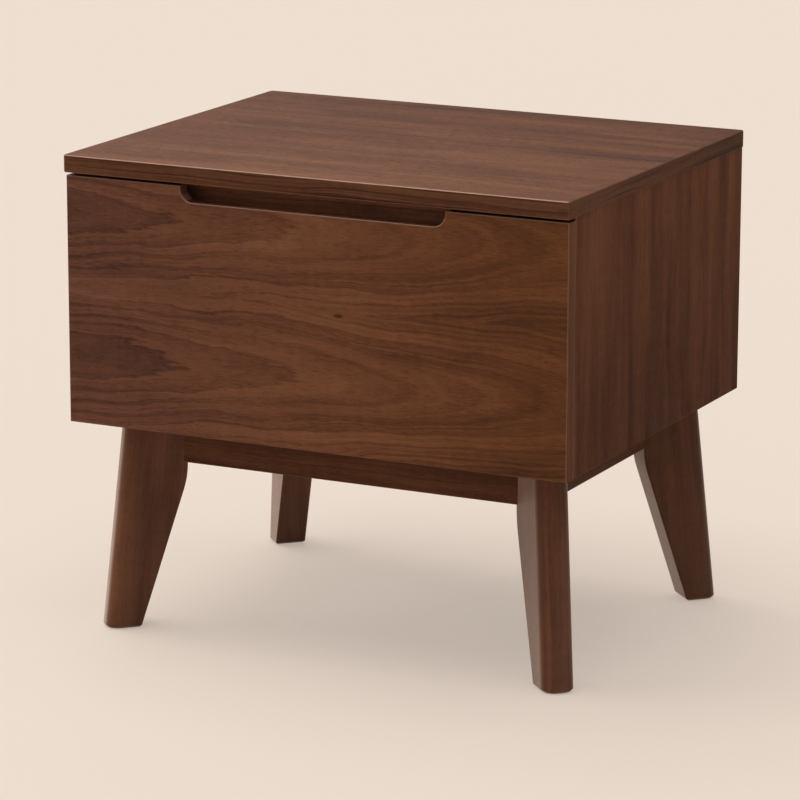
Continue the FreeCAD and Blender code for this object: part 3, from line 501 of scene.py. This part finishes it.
@dataclass(frozen=True)
class Walnut:
    """Satin-lacquered walnut, cut for one piece.

    Attributes:
        name: the material's name.
        turn: the turn in degrees that lays the pattern along the piece's grain.
        seed: what sets this cut apart from another.
        flame: whether it is the arched, mirrored figure.
        banded: whether its two ends carry an edge strip.
        wander: how far the rings bend, in millimetres.
        stripes: strength of the ring stripes.
        mottle: strength of the soft patches.
        bands: strength of the wide dark bands.
        light: factor on walnut's three colours.
        painted_highlight_colour: the colour of the highlight painted on the eased arrises.
        specular: how strongly the lacquer shines when seen square on.
        gloss: how much smoother the lacquer is than satin.
        pitch: factor on the rings' spacing.
        drift: painted shade: how much the tone darkens in a metre along the grain, and across it.
        painted_shade_from: the place along the grain where the painted shade is nought, in metres.
        painted_sheen_tint: painted sheen: how much each channel grows in a metre along the grain, as a share
            of itself, so that one end of the board is painted greyer, as a reflection would make it.
        edge: factor on the colours of the board's edges.
        edge_stripes: factor on the ring stripes of the board's edges.
        painted_highlight: how strong the painted highlight on the eased arrises is.
        painted_highlight_sides: factor on the painted highlight for the arrises that face left or right.
        pores: how dark the pores are on the board's faces.
        sheen: strength of the lacquer's glow when a flat face is seen along its surface.
    """

    name: str
    turn: Point
    seed: float = 0.0
    flame: bool = False
    banded: bool = True
    wander: float = 9.0
    stripes: float = 1.0
    mottle: float = 0.8
    bands: float = 0.25
    light: float = 1.0
    painted_highlight_colour: Colour = (0.380, 0.240, 0.180)
    specular: float = 0.04
    gloss: float = 0.0
    pitch: float = 1.0
    drift: tuple[float, float] = (0.0, 0.0)
    painted_shade_from: float = 0.0
    painted_sheen_tint: Colour = (0.0, 0.0, 0.0)
    edge: float = 1.0
    edge_stripes: float = 1.0
    painted_highlight: float = 0.75
    painted_highlight_sides: float = 1.0
    pores: float = 0.28
    sheen: float = 0.0

    def surface(self) -> Material:
        """Builds the finish.

        Returns:
            The material.
        """
        sheet = Surface(self.name)
        own = sheet.own
        place, normal = (sheet.turned(own[key], self.turn) for key in ("Object", "Normal"))
        lay, edge = sheet.vector("MULTIPLY", place, TO_MM), 0.0
        if self.banded:
            veneer = sheet.use(veneer_lay, Place=place, Normal=normal)
            lay, edge = veneer["Lay"], veneer["Edge"]
        if self.flame:
            rings = sheet.use(flame_rings, Lay=lay)
        else:
            rings = sheet.use(straight_rings, Lay=lay, Wander=self.wander, Pitch=self.pitch, Seed=self.seed)

        def on_edge(value: float, factor: float, mask: Plug = edge) -> Socket:
            """A value that is multiplied by a factor where the mask is 1."""
            return sheet.line(mask, (factor - 1.0) * value, value)

        pale, middle, dark = (tuple(channel * self.light for channel in tone) for tone in WALNUT)
        # painted shade: the tone darkens along and across the grain by the drift
        painted_shade = sheet.vector("DOT_PRODUCT", place, (*self.drift, 0.0), result="Value")
        figure = sheet.use(
            walnut_figure,
            Lay=lay, Ring=rings["Ring"], Band=rings["Band"], Seed=self.seed,
            Pale=pale, Middle=middle, Dark=dark, Mottle=self.mottle, Bands=self.bands,
            Stripes=on_edge(self.stripes, self.edge_stripes),
            Pores=on_edge(self.pores, EDGE_PORES),
            Drift=sheet.calc("SUBTRACT", painted_shade, self.drift[0] * self.painted_shade_from),
        )
        along, strip = sheet.split(place)[0], on_edge(1.0, self.edge)
        # painted sheen: the colour turns greyer towards one end of the board; its edges take their own factor
        sheen_tint_and_edge = sheet.vector("MULTIPLY_ADD", sheet.join(along, along, along), self.painted_sheen_tint, WHITE)
        sheen_tint_and_edge = sheet.vector("MULTIPLY", sheen_tint_and_edge, sheet.join(strip, strip, strip))
        colour = sheet.mix(1.0, figure["Color"], sheen_tint_and_edge, "MULTIPLY")
        if self.flame:
            colour = sheet.mix(sheet.times(rings["Knot"], 0.8), colour, PIN_KNOT)
        # painted highlight: the eased arrises are painted paler, less on those that face left or right
        sideways = sheet.between(sheet.calc("ABSOLUTE", sheet.split(own["Normal"])[0]), 0.3, 0.6)
        painted_highlight = sheet.use(arris_painted_highlight, Place=own["Object"], Normal=own["Normal"])["Mask"]
        painted_highlight_share = sheet.times(painted_highlight, on_edge(self.painted_highlight, self.painted_highlight_sides, sideways))
        feeds = {
            "Base Color": sheet.mix(painted_highlight_share, colour, self.painted_highlight_colour),
            "Roughness": sheet.calc("SUBTRACT", figure["Roughness"], self.gloss),
            "Specular IOR Level": self.specular,
            "Sheen Roughness": 0.46,
            "Sheen Tint": LACQUER_GLOW,
        }
        if self.sheen:
            across, into = (sheet.calc("ABSOLUTE", part) for part in sheet.split(normal)[1:])
            rounded = sheet.between(sheet.calc("MINIMUM", across, into), 0.12, 0.45)
            feeds["Sheen Weight"] = on_edge(self.sheen, ARRIS_SHEEN, rounded)
        return sheet.finish(feeds, figure["Height"], distance=0.1 * MM, strength=0.6)


@dataclass(frozen=True)
class PaleTimber:
    """Bare or clear-sealed pale timber, for the parts inside the case, in a light and a darker colour."""

    name: str
    turn: Point
    colours: tuple[Colour, Colour]
    seed: float = 0.0

    def surface(self) -> Material:
        """Builds the finish.

        Returns:
            The material.
        """
        sheet = Surface(self.name)
        place = sheet.turned(sheet.own["Object"], self.turn)
        lay = sheet.vector("MULTIPLY", place, TO_MM)
        light, shade = self.colours
        timber = sheet.use(pale_timber, Lay=lay, Light=light, Shade=shade, Seed=self.seed)
        feeds = {"Base Color": timber["Color"], "Roughness": timber["Roughness"], "Specular IOR Level": 0.35}
        return sheet.finish(feeds, timber["Height"], distance=0.12 * MM, strength=0.5)


@dataclass(frozen=True)
class Metal:
    """Drawn or plated metal with fine scratches and slow blotches, in which it is dull.

    Spread is what the scratches add to the roughness, and draw their number in a metre of each axis.
    """

    name: str
    bright: Colour
    dull: Colour
    rough: float
    spread: float
    draw: Point = (400.0, 12.0, 400.0)

    def surface(self) -> Material:
        """Builds the finish.

        Returns:
            The material.
        """
        sheet = Surface(self.name)
        place = sheet.own["Object"]
        marks = sheet.use(metal_marks, Place=place, Draw=self.draw)
        blotch = sheet.between(marks["Blotch"], 0.35, 0.7)
        rough = sheet.line(blotch, 0.08, sheet.line(marks["Scratch"], self.spread, self.rough))
        feeds = {"Base Color": sheet.mix(blotch, self.bright, self.dull), "Roughness": rough, "Metallic": 1.0}
        return sheet.finish(feeds, marks["Scratch"], distance=0.02 * MM, strength=0.35)


@cache
def zinc_steel() -> Material:
    """The plated steel of the screws, bolts and nuts."""
    plated = Metal("zinc_steel", (0.66, 0.67, 0.68), (0.50, 0.51, 0.53), 0.26, 0.14, (160.0, 160.0, 160.0))
    return plated.surface()


@cache
def runner_steel() -> Material:
    """The runners' drawn steel."""
    return Metal("runner_steel", (0.62, 0.63, 0.65), (0.52, 0.53, 0.55), 0.24, 0.16).surface()


@dataclass(frozen=True)
class Plastic:
    """Moulded plastic with a fine spark-eroded texture and a slight drift to another colour.

    Pitch is the texture's cells in a metre, and clear is how much light goes through.
    """

    name: str
    colour: Colour
    drift: Colour
    rough: float
    pitch: float = 2600.0
    clear: float = 0.0

    def surface(self) -> Material:
        """Builds the finish.

        Returns:
            The material.
        """
        sheet = Surface(self.name)
        place = sheet.own["Object"]
        texture = sheet.noise(sheet.vector("MULTIPLY", place, (self.pitch,) * 3), 2.0)
        flow = sheet.noise(sheet.vector("MULTIPLY", place, (70.0, 40.0, 70.0)), 2.0)
        feeds = {
            "Base Color": sheet.mix(flow, self.colour, self.drift),
            "Roughness": sheet.line(texture, 0.16, self.rough),
            "Transmission Weight": self.clear,
        }
        return sheet.finish(feeds, texture, distance=0.03 * MM, strength=0.5)


def paint(name: str, material: Material) -> None:
    """Puts a material in every slot of a frame node.

    Args:
        name: the node's name.
        material: its finish.
    """
    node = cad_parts[name]
    for slot in node.material_slots:
        slot.material = material
    if not node.material_slots:
        node.data.materials.append(material)
    LOG.info("dressed %s in %s", name, material.name)


# -------- Numeric surfaces --------


@dataclass
class Shell:
    """Points, quads and triangles of one closed surface."""

    points: np.ndarray
    quads: np.ndarray
    triangles: np.ndarray

    def moved(self, matrix: Matrix) -> "Shell":
        """The same surface under a turn and a shift."""
        turn = np.array(matrix.to_3x3())
        return Shell(self.points @ turn.T + np.array(matrix.translation), self.quads, self.triangles)


def turned_rings(radii: np.ndarray, heights: np.ndarray, sides: int) -> np.ndarray:
    """Rings of points round the upright axis.

    The point at row i and column j is (r_i cos a_j, r_i sin a_j, h_i), with a_j the column's share of
    a full turn.

    Args:
        radii: the radius of each ring.
        heights: its height.
        sides: points round the axis.

    Returns:
        The points, as rings by sides by three.
    """
    angle = np.linspace(0.0, 2 * np.pi, sides, endpoint=False)
    across, up = np.outer(radii, np.cos(angle)), np.outer(radii, np.sin(angle))
    return np.stack((across, up, np.outer(heights, np.ones(sides))), axis=-1)


def closed_rings(rings: np.ndarray, top: Point, foot: Point) -> Shell:
    """A closed surface over a stack of rings, with a pole at each end.

    Quads join each ring to the next, and triangles join the first and last ring to their poles.

    Args:
        rings: the points, from the top ring down, as rings by sides by three.
        top: the pole over the first ring.
        foot: the pole under the last one.

    Returns:
        The surface, with its faces outward.
    """
    count, sides = rings.shape[:2]
    column = np.arange(sides)
    after = (column + 1) % sides
    upper = np.arange(count - 1)[:, None] * sides
    lower = upper + sides
    quads = np.stack((lower + column, lower + after, upper + after, upper + column), axis=-1)
    pole, last = np.full(sides, count * sides), (count - 1) * sides
    cap = np.stack((pole, column, after), axis=-1)
    base = np.stack((pole + 1, last + after, last + column), axis=-1)
    return Shell(np.vstack((rings.reshape(-1, 3), top, foot)), quads.reshape(-1, 4), np.vstack((cap, base)))


def make_piece(name: str, shells: list[Shell], material: Material) -> bpy.types.Object:
    """One object from several closed surfaces, with its place in its mesh.

    Args:
        name: the piece's name.
        shells: the surfaces, in metres in the frame's axes.
        material: its finish.

    Returns:
        The object, at the origin and unturned.
    """
    starts = np.cumsum([0] + [len(shell.points) for shell in shells[:-1]])
    points = np.vstack([shell.points for shell in shells])
    faces = []
    for start, shell in zip(starts, shells):
        faces += (shell.quads + start).tolist() + (shell.triangles + start).tolist()
    mesh = bpy.data.meshes.new(name)
    mesh.from_pydata(points.tolist(), [], faces)
    mesh.materials.append(material)
    mesh.polygons.foreach_set("use_smooth", np.ones(len(faces), bool))
    mesh.update()
    piece = bpy.data.objects.new(name, mesh)
    bpy.context.scene.collection.objects.link(piece)
    LOG.info("built %s: %d points, %d faces", name, len(points), len(faces))
    return piece


@dataclass(frozen=True)
class Screw:
    """The seen part of a cross-recess screw, its axis up through the head.

    Attributes:
        head: the head's radius.
        rise: the head's height over what it holds.
        flange: the height of the straight rim.
        shank: the shank's radius.
        grip: how far the shank goes in.
        slot: half the width of the cross's arms, as a share of the head's radius.
        slot_wall: the width of the arms' sloping walls, as a share of it.
        arm: the arms' reach, as a share of it.
        arm_wall: the length of the arms' sloping ends, as a share of it.
        sink: the recess's depth, as a share of the rise.
        sides: columns round the axis.
        rings: rows from the middle of the head to its rim.
        crowding: the power that sets the rows closer to the rim.
        twist: the turn from one screw to the next, in degrees.
    """

    head: float = 3.4 * MM
    rise: float = 1.9 * MM
    flange: float = 0.5 * MM
    shank: float = 1.5 * MM
    grip: float = 3.0 * MM
    slot: float = 0.13
    slot_wall: float = 0.06
    arm: float = 0.56
    arm_wall: float = 0.14
    sink: float = 0.85
    sides: int = 40
    rings: int = 13
    crowding: float = 0.85
    twist: float = 47.0

    def shell(self) -> Shell:
        """The head as a height over its radius and angle, over a rim and a plain shank.

        The dome's height falls with the fourth power of the radius. The recess is a cross: where
        the place lies within the arms' width and reach, the height drops by the sink, with eased
        walls.

        Returns:
            The surface, its underside at height 0 and its head upward.
        """
        share = np.linspace(0.0, 1.0, self.rings)[1:] ** self.crowding
        across, up, fall = np.moveaxis(turned_rings(share, share**4, self.sides), -1, 0)
        dome = self.flange + (self.rise - self.flange) * (1 - fall)
        narrow = np.minimum(np.abs(across), np.abs(up))
        long = np.maximum(np.abs(across), np.abs(up))
        walls = np.clip((self.slot - narrow) / self.slot_wall + 0.5, 0, 1)
        ends = np.clip((self.arm - long) / self.arm_wall + 0.5, 0, 1)
        sunk = walls * ends * self.sink * self.rise
        head = np.stack((across * self.head, up * self.head, dome - sunk), axis=-1)
        below = turned_rings([self.head, self.shank, self.shank], [0.0, 0.0, -self.grip], self.sides)
        top, foot = (0.0, 0.0, self.rise * (1 - self.sink)), (0.0, 0.0, -self.grip)
        return closed_rings(np.vstack((head, below)), top, foot)

    def set_in(self, places: list[Point], way: Point) -> list[Shell]:
        """Copies of the screw, each turned a little differently about its own axis.

        Args:
            places: where the underside of each head sits.
            way: the direction in which the heads face.

        Returns:
            One surface for each place.
        """
        shell = self.shell()
        facing = Vector(way).to_track_quat("Z", "Y").to_matrix().to_4x4()
        turns = [math.radians(self.twist * number % 90.0) for number in range(len(places))]
        return [
            shell.moved(Matrix.Translation(place) @ facing @ Matrix.Rotation(turn, 4, "Z"))
            for place, turn in zip(places, turns)
        ]


# -------- Sub-assemblies --------


@dataclass
class Case:
    """The carcase: top, sides, bottom, back, stretchers and their dowels.

    The back's screws stand on an upright line near each side and on two level lines between them.
    """

    back_screw: Screw = Screw(head=3.3 * MM, rise=1.3 * MM, flange=0.3 * MM)
    side_line: float = 236.5 * MM
    side_heights: tuple[float, ...] = (242 * MM, 318 * MM, 394 * MM)
    level_lines: tuple[float, ...] = (210 * MM, 416 * MM)
    level_places: tuple[float, ...] = (-150 * MM, 0.0, 150 * MM)

    def dress(self) -> None:
        """Lays the veneers and dresses the dowels."""
        flat, upright, front = Grain.ALONG_X.value, Grain.UPRIGHT_SIDE.value, Grain.FLAT_FRONT.value
        quiet = {"wander": 20, "stripes": 0.5, "mottle": 0.6, "bands": 0.3, "light": 0.92, "pitch": 1.6}
        # painted shade: the sides are painted darker towards the bottom and lighter towards the top
        quiet |= {"drift": (-1.25, 0.25), "painted_shade_from": 0.318, "specular": 0.012}
        cuts = {
            "top_slab": Walnut(
                "walnut_top", flat, 12.1,
                wander=22, stripes=0.8, mottle=0.65, bands=0.2, light=0.97, pitch=2.3, pores=0.7,
                # painted shade: the top is painted darker towards its back, and a little towards its right
                drift=(0.15, 0.8), edge=0.6, edge_stripes=2.6, specular=0.032,
                # painted highlight on the top's arrises, weak on its left and right edges
                painted_highlight_colour=(0.48, 0.31, 0.24), painted_highlight=1.0, painted_highlight_sides=0.2,
            ),
            "side_panel_left": Walnut("walnut_side_left", upright, 5.1, **quiet),
            "side_panel_right": Walnut("walnut_side_right", upright, 18.66, **quiet),
            "bottom_panel": Walnut("walnut_bottom", flat, 3.9),
            "back_panel": Walnut("walnut_back", front, 8.4, wander=16, bands=0.35),
            # painted light: the stretcher seen through the finger notch is painted far paler, for light
            # reaching into the notch
            "front_stretcher": Walnut("walnut_front_stretcher", front, 1.2, light=2.8),
            "back_stretcher": Walnut("walnut_back_stretcher", front, 6.6),
        }
        for name, cut in cuts.items():
            paint(name, cut.surface())
        dowel = PaleTimber("beech_dowel", upright, BEECH).surface()
        for name in ("top_dowels", "bottom_dowels"):
            paint(name, dowel)

    def fasten(self) -> None:
        """Screws the back panel to the sides, the bottom and the back stretcher."""
        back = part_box("back_panel")[1].y
        places = [(hand * self.side_line, back, z) for _, hand in SIDES for z in self.side_heights]
        places += [(x, back, z) for z in self.level_lines for x in self.level_places]
        piece = make_piece("back_panel_screws", self.back_screw.set_in(places, (0, 1, 0)), zinc_steel())
        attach(piece, "case")


@dataclass
class Base:
    """The leg frame: rails, splayed plank legs, corner blocks, bolts, nuts and glides.

    Splay is the legs' lean in degrees. A block's two screws stand at a reach from the case's corner
    along its diagonal, with a spread to each side of it.
    """

    splay: float = 6.4
    block_screw: Screw = Screw(head=3.6 * MM, rise=2.0 * MM)
    screw_spread: float = 18 * MM
    screw_reach: float = 140.4 * MM

    def dress(self) -> None:
        """Dresses the legs, corner blocks, rails, fasteners and glides."""
        for row, (end, fore) in enumerate(ENDS):
            for place, (side, hand) in enumerate(SIDES):
                heading = math.degrees(math.atan2(fore, hand))
                leg = Walnut(
                    f"walnut_leg_{end}_{side}", (90.0, -90.0 - self.splay, heading),
                    11.3 + 3.1 * row + 1.7 * place,
                    banded=False, wander=7, stripes=0.5, mottle=0.6, bands=0.3, light=0.9,
                    specular=0.07, gloss=0.2, painted_highlight=0.0, sheen=1.0,
                )
                paint(f"leg_{end}_{side}", leg.surface())
                block = PaleTimber(f"beech_{end}_{side}", (0.0, 0.0, heading + 90), BEECH, 3.0 + row)
                paint(f"corner_block_{end}_{side}", block.surface())
        for names, turn in ((ENDS, Grain.FLAT_FRONT), (SIDES, Grain.FLAT_SIDE)):
            for name, _ in names:
                rail = Walnut(
                    f"walnut_rail_{name}", turn.value, 21.0 + len(name),
                    banded=False, stripes=0.6, mottle=0.6, light=0.74,
                )
                paint(f"rail_{name}", rail.surface())
        for name in ("leg_bolts", "leg_nuts"):
            paint(name, zinc_steel())
        glide = Plastic("glide_plastic", (0.045, 0.04, 0.037), (0.06, 0.052, 0.047), 0.45)
        paint("foot_glides", glide.surface())

    def fasten(self) -> None:
        """Sets two screws up through each corner block into the case."""
        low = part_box("corner_block_front_left")[0].z
        near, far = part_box("side_panel_left")[0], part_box("side_panel_right")[1]
        places = []
        for end, _ in ENDS:
            for side, _ in SIDES:
                lower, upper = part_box(f"corner_block_{end}_{side}")
                across, deep = (math.copysign(1, part) for part in (lower + upper)[:2])
                inward = Vector((-across, -deep, 0)).normalized()
                aside = Vector((-inward.y, inward.x, 0)) * self.screw_spread
                corner = Vector((across * far.x, near.y if deep < 0 else far.y, low))
                centre = corner + inward * self.screw_reach
                places += [tuple(centre + aside * way) for way in (-1, 1)]
        piece = make_piece("corner_block_screws", self.block_screw.set_in(places, (0, 0, -1)), zinc_steel())
        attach(piece, "case")


@dataclass
class Drawer:
    """The drawer: its shaped front, dovetailed box, bottom and bumpers."""

    front_screw: Screw = Screw(head=4.0 * MM, rise=2.2 * MM)
    screw_across: float = 162.8 * MM
    screw_heights: tuple[float, float] = (275 * MM, 345 * MM)

    def dress(self) -> None:
        """Lays the front's mirrored veneer and dresses the box."""
        front = Walnut(
            "walnut_front", Grain.FLAT_FRONT.value, 4.2,
            # painted sheen: the front's left end is painted greyer, as a reflection of light from the left
            flame=True, stripes=0.88, mottle=0.55, bands=0.47, light=0.98, painted_sheen_tint=(-0.06, -0.25, -1.15),
        )
        paint("drawer_front", front.surface())
        boards = (
            ("box_front", Grain.FLAT_FRONT), ("box_back", Grain.FLAT_FRONT),
            ("box_side_left", Grain.FLAT_SIDE), ("box_side_right", Grain.FLAT_SIDE),
            ("box_bottom", Grain.ALONG_X),
        )
        for number, (name, turn) in enumerate(boards):
            board = PaleTimber(f"drawer_wood_{name}", turn.value, DRAWER_WOOD, 1.0 + 1.9 * number)
            paint(name, board.surface())
        bumper = Plastic("clear_rubber", (0.75, 0.76, 0.74), (0.70, 0.71, 0.69), 0.15, 400.0, 0.6)
        paint("drawer_bumpers", bumper.surface())

    def fasten(self) -> None:
        """Sets the four screws that hold the front, seen inside the box."""
        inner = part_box("box_front")[1].y
        places = [(hand * self.screw_across, inner, z) for _, hand in SIDES for z in self.screw_heights]
        piece = make_piece("drawer_front_screws", self.front_screw.set_in(places, (0, 1, 0)), zinc_steel())
        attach(piece, "drawer")


@dataclass
class Runners:
    """The pair of telescopic runners: rolled members, ball cages, balls and screws.

    Each cage holds two rows of balls. Outer and inner are how far across the part, and how far over
    and under the runners' middle height, the rows of each cage lie. Pitch is the balls' spacing.
    Screwed names each screwed member, how far across its screws sit, the way they face and the screw.
    """

    ball: float = 1.6 * MM
    ball_rings: int = 7
    ball_sides: int = 14
    pitch: float = 26 * MM
    count: int = 6
    middle: float = -5 * MM
    height: float = 300 * MM
    outer: tuple[float, float] = (229.55 * MM, 19.55 * MM)
    inner: tuple[float, float] = (224.3 * MM, 14.85 * MM)
    fixings: tuple[float, float] = (-143 * MM, 133 * MM)
    screwed: tuple[tuple[str, float, int, Screw], ...] = (
        ("case", 231.3 * MM, -1, Screw(head=3.3 * MM, rise=0.3 * MM, flange=0.12 * MM)),
        ("drawer", 221.0 * MM, 1, Screw(head=3.3 * MM, rise=1.1 * MM, flange=0.25 * MM)),
    )

    def dress(self) -> None:
        """Dresses the members and the cages."""
        cage = Plastic("cage_plastic", (0.62, 0.60, 0.55), (0.56, 0.54, 0.49), 0.42).surface()
        for side, _ in SIDES:
            for member in ("case", "middle", "drawer"):
                paint(f"runner_{side}_{member}_member", runner_steel())
            for layer in ("outer", "inner"):
                paint(f"runner_{side}_{layer}_cage", cage)

    def roll(self) -> None:
        """Fills each cage with its balls, as one piece for each cage.

        A ball is a surface of revolution whose radius and height are the sine and cosine of the
        angle from its pole.
        """
        polar = np.linspace(0.0, np.pi, self.ball_rings + 2)[1:-1]
        rings = turned_rings(self.ball * np.sin(polar), self.ball * np.cos(polar), self.ball_sides)
        ball = closed_rings(rings, (0.0, 0.0, self.ball), (0.0, 0.0, -self.ball))
        first = self.middle - self.pitch * (self.count - 1) / 2
        for side, hand in SIDES:
            for layer, (across, up) in (("outer", self.outer), ("inner", self.inner)):
                shells = [
                    ball.moved(Matrix.Translation((hand * across, first + self.pitch * step, z)))
                    for step in range(self.count)
                    for z in (self.height - up, self.height + up)
                ]
                piece = make_piece(f"runner_{side}_{layer}_balls", shells, runner_steel())
                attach(piece, f"{layer}_cage_{side}")

    def fasten(self) -> None:
        """Screws the case members to the sides and the drawer members to the box.

        The case members' heads are flat, because a cage runs over them.
        """
        for member, face, way, screw in self.screwed:
            for side, hand in SIDES:
                places = [(hand * face, y, self.height) for y in self.fixings]
                shells = screw.set_in(places, (hand * way, 0, 0))
                piece = make_piece(f"runner_{side}_{member}_screws", shells, zinc_steel())
                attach(piece, member)


# -------- Studio --------


@dataclass(frozen=True)
class Lamp:
    """A far, soft lamp that lights the whole floor alike.

    Attributes:
        name: the lamp's name.
        azimuth: where it stands, in degrees round from the front towards the right.
        height: its height over the horizon, in degrees.
        power: its light on a face turned to it.
        spread: its width as seen from the floor, in degrees.
        colour: its colour.
        away: how far off it hangs, which doesn't change its light.
    """

    name: str
    azimuth: float
    height: float
    power: float
    spread: float = 60.0
    colour: Colour = (1.0, 0.985, 0.965)
    away: float = 4.0

    def hang(self) -> None:
        """Adds the lamp to the scene."""
        light = bpy.data.lights.new(self.name, "SUN")
        light.energy = self.power
        light.angle = math.radians(self.spread)
        light.color = self.colour
        lamp = bpy.data.objects.new(self.name, light)
        turn, rise = math.radians(self.azimuth), math.radians(self.height)
        place = Vector((math.sin(turn) * math.cos(rise), -math.cos(turn) * math.cos(rise), math.sin(rise)))
        lamp.location = place * self.away
        lamp.rotation_euler = place.to_track_quat("Z", "Y").to_euler()
        bpy.context.scene.collection.objects.link(lamp)


@dataclass
class Studio:
    """Floor, lamps, surroundings and camera.

    Ambient is the strength of the surroundings, and glow is the share of the floor's colour that is
    its own. The camera's yaw to the left, pitch down and roll are in degrees, its lens in millimetres.
    """

    floor: Colour = (0.838, 0.722, 0.628)
    surroundings: Colour = (1.0, 0.95, 0.90)
    ambient: float = 0.1
    glow: float = 0.355
    glow_strength: float = 1.4
    lamps: tuple[Lamp, ...] = (
        Lamp("back_left_box", -130.0, 35.0, 0.95),
        Lamp("low_left_box", -82.0, 16.0, 1.45),
        Lamp("front_box", 10.0, 18.0, 0.34),
        Lamp("high_left_box", -55.0, 60.0, 0.6),
        Lamp("overhead_box", 0.0, 88.0, 1.42),
    )
    reach: float = 30.0
    camera_place: Point = (1.649, -3.355, 1.113)
    camera_yaw: float = 26.30
    camera_pitch: float = 13.63
    camera_roll: float = 0.12
    lens: float = 185.9

    def lay_floor(self) -> None:
        """Lays a plain matt floor with a faint drift of tone.

        Part of its colour is its own to the camera and in reflections, which keeps the object's
        shadow light, and the rest is lit. Seen from below it is clear, so that it hides nothing.
        """
        corners = np.array([[-1, -1, 0], [1, -1, 0], [1, 1, 0], [-1, 1, 0]]) * self.reach
        mesh = bpy.data.meshes.new("floor")
        mesh.from_pydata(corners.tolist(), [], [(0, 1, 2, 3)])
        sheet = Surface("matt_floor")
        place = sheet.own["Object"]
        drift = sheet.noise(sheet.vector("MULTIPLY", place, (1.3, 1.3, 1.3)), 1.0)
        lit, faint = (tuple(channel * share for channel in self.floor) for share in (0.78, 0.77))
        sheet.feed(sheet.shader.inputs["Base Color"], sheet.mix(drift, lit, faint))
        sheet.feed(sheet.shader.inputs["Roughness"], 1.0)
        sheet.feed(sheet.shader.inputs["Specular IOR Level"], 0.0)
        ray = sheet.node("LightPath").outputs
        seen = sheet.calc("MAXIMUM", ray["Is Camera Ray"], ray["Is Glossy Ray"])
        seen = sheet.calc("MAXIMUM", seen, ray["Is Transmission Ray"])
        plain = sheet.node("Emission", {"Color": self.floor, "Strength": self.glow_strength})
        above = (sheet.times(seen, self.glow), sheet.shader.outputs[0], plain.outputs[0])
        blend = sheet.node("MixShader", above).outputs[0]
        below = sheet.node("NewGeometry").outputs["Backfacing"]
        clear = sheet.node("BsdfTransparent").outputs[0]
        sided = sheet.node("MixShader", (below, blend, clear))
        sheet.feed(sheet.output.inputs["Surface"], sided.outputs[0])
        mesh.materials.append(sheet.material)
        floor = bpy.data.objects.new("floor", mesh)
        bpy.context.scene.collection.objects.link(floor)

    def surround(self) -> None:
        """Sets one plain colour all round."""
        world = bpy.data.worlds.new("studio")
        world.use_nodes = True
        back = world.node_tree.nodes["Background"]
        back.inputs["Color"].default_value = (*self.surroundings, 1.0)
        back.inputs["Strength"].default_value = self.ambient
        bpy.context.scene.world = world

    def set_camera(self) -> None:
        """Stands the camera up and aims it by its yaw, pitch and roll."""
        lens = bpy.data.cameras.new("camera")
        lens.lens = self.lens
        lens.clip_start, lens.clip_end = 0.1, 200.0
        camera = bpy.data.objects.new("camera", lens)
        camera.location = self.camera_place
        turn = Euler((math.radians(90 - self.camera_pitch), 0.0, math.radians(self.camera_yaw)), "XYZ")
        roll = Matrix.Rotation(math.radians(self.camera_roll), 3, "Z")
        camera.rotation_euler = (turn.to_matrix() @ roll).to_euler()
        bpy.context.scene.collection.objects.link(camera)
        bpy.context.scene.camera = camera

    def build(self) -> None:
        """Builds the whole studio."""
        bpy.context.scene.view_settings.view_transform = "Standard"
        self.lay_floor()
        self.surround()
        for lamp in self.lamps:
            lamp.hang()
        self.set_camera()


def main() -> None:
    """Builds the studio, dresses each sub-assembly and adds its small pieces."""
    logging.basicConfig(level=logging.INFO, format="%(name)s: %(message)s")
    Studio().build()
    for assembly in (Case(), Base(), Drawer()):
        assembly.dress()
        assembly.fasten()
    runners = Runners()
    runners.dress()
    runners.roll()
    runners.fasten()


if __name__ == "__main__":
    main()
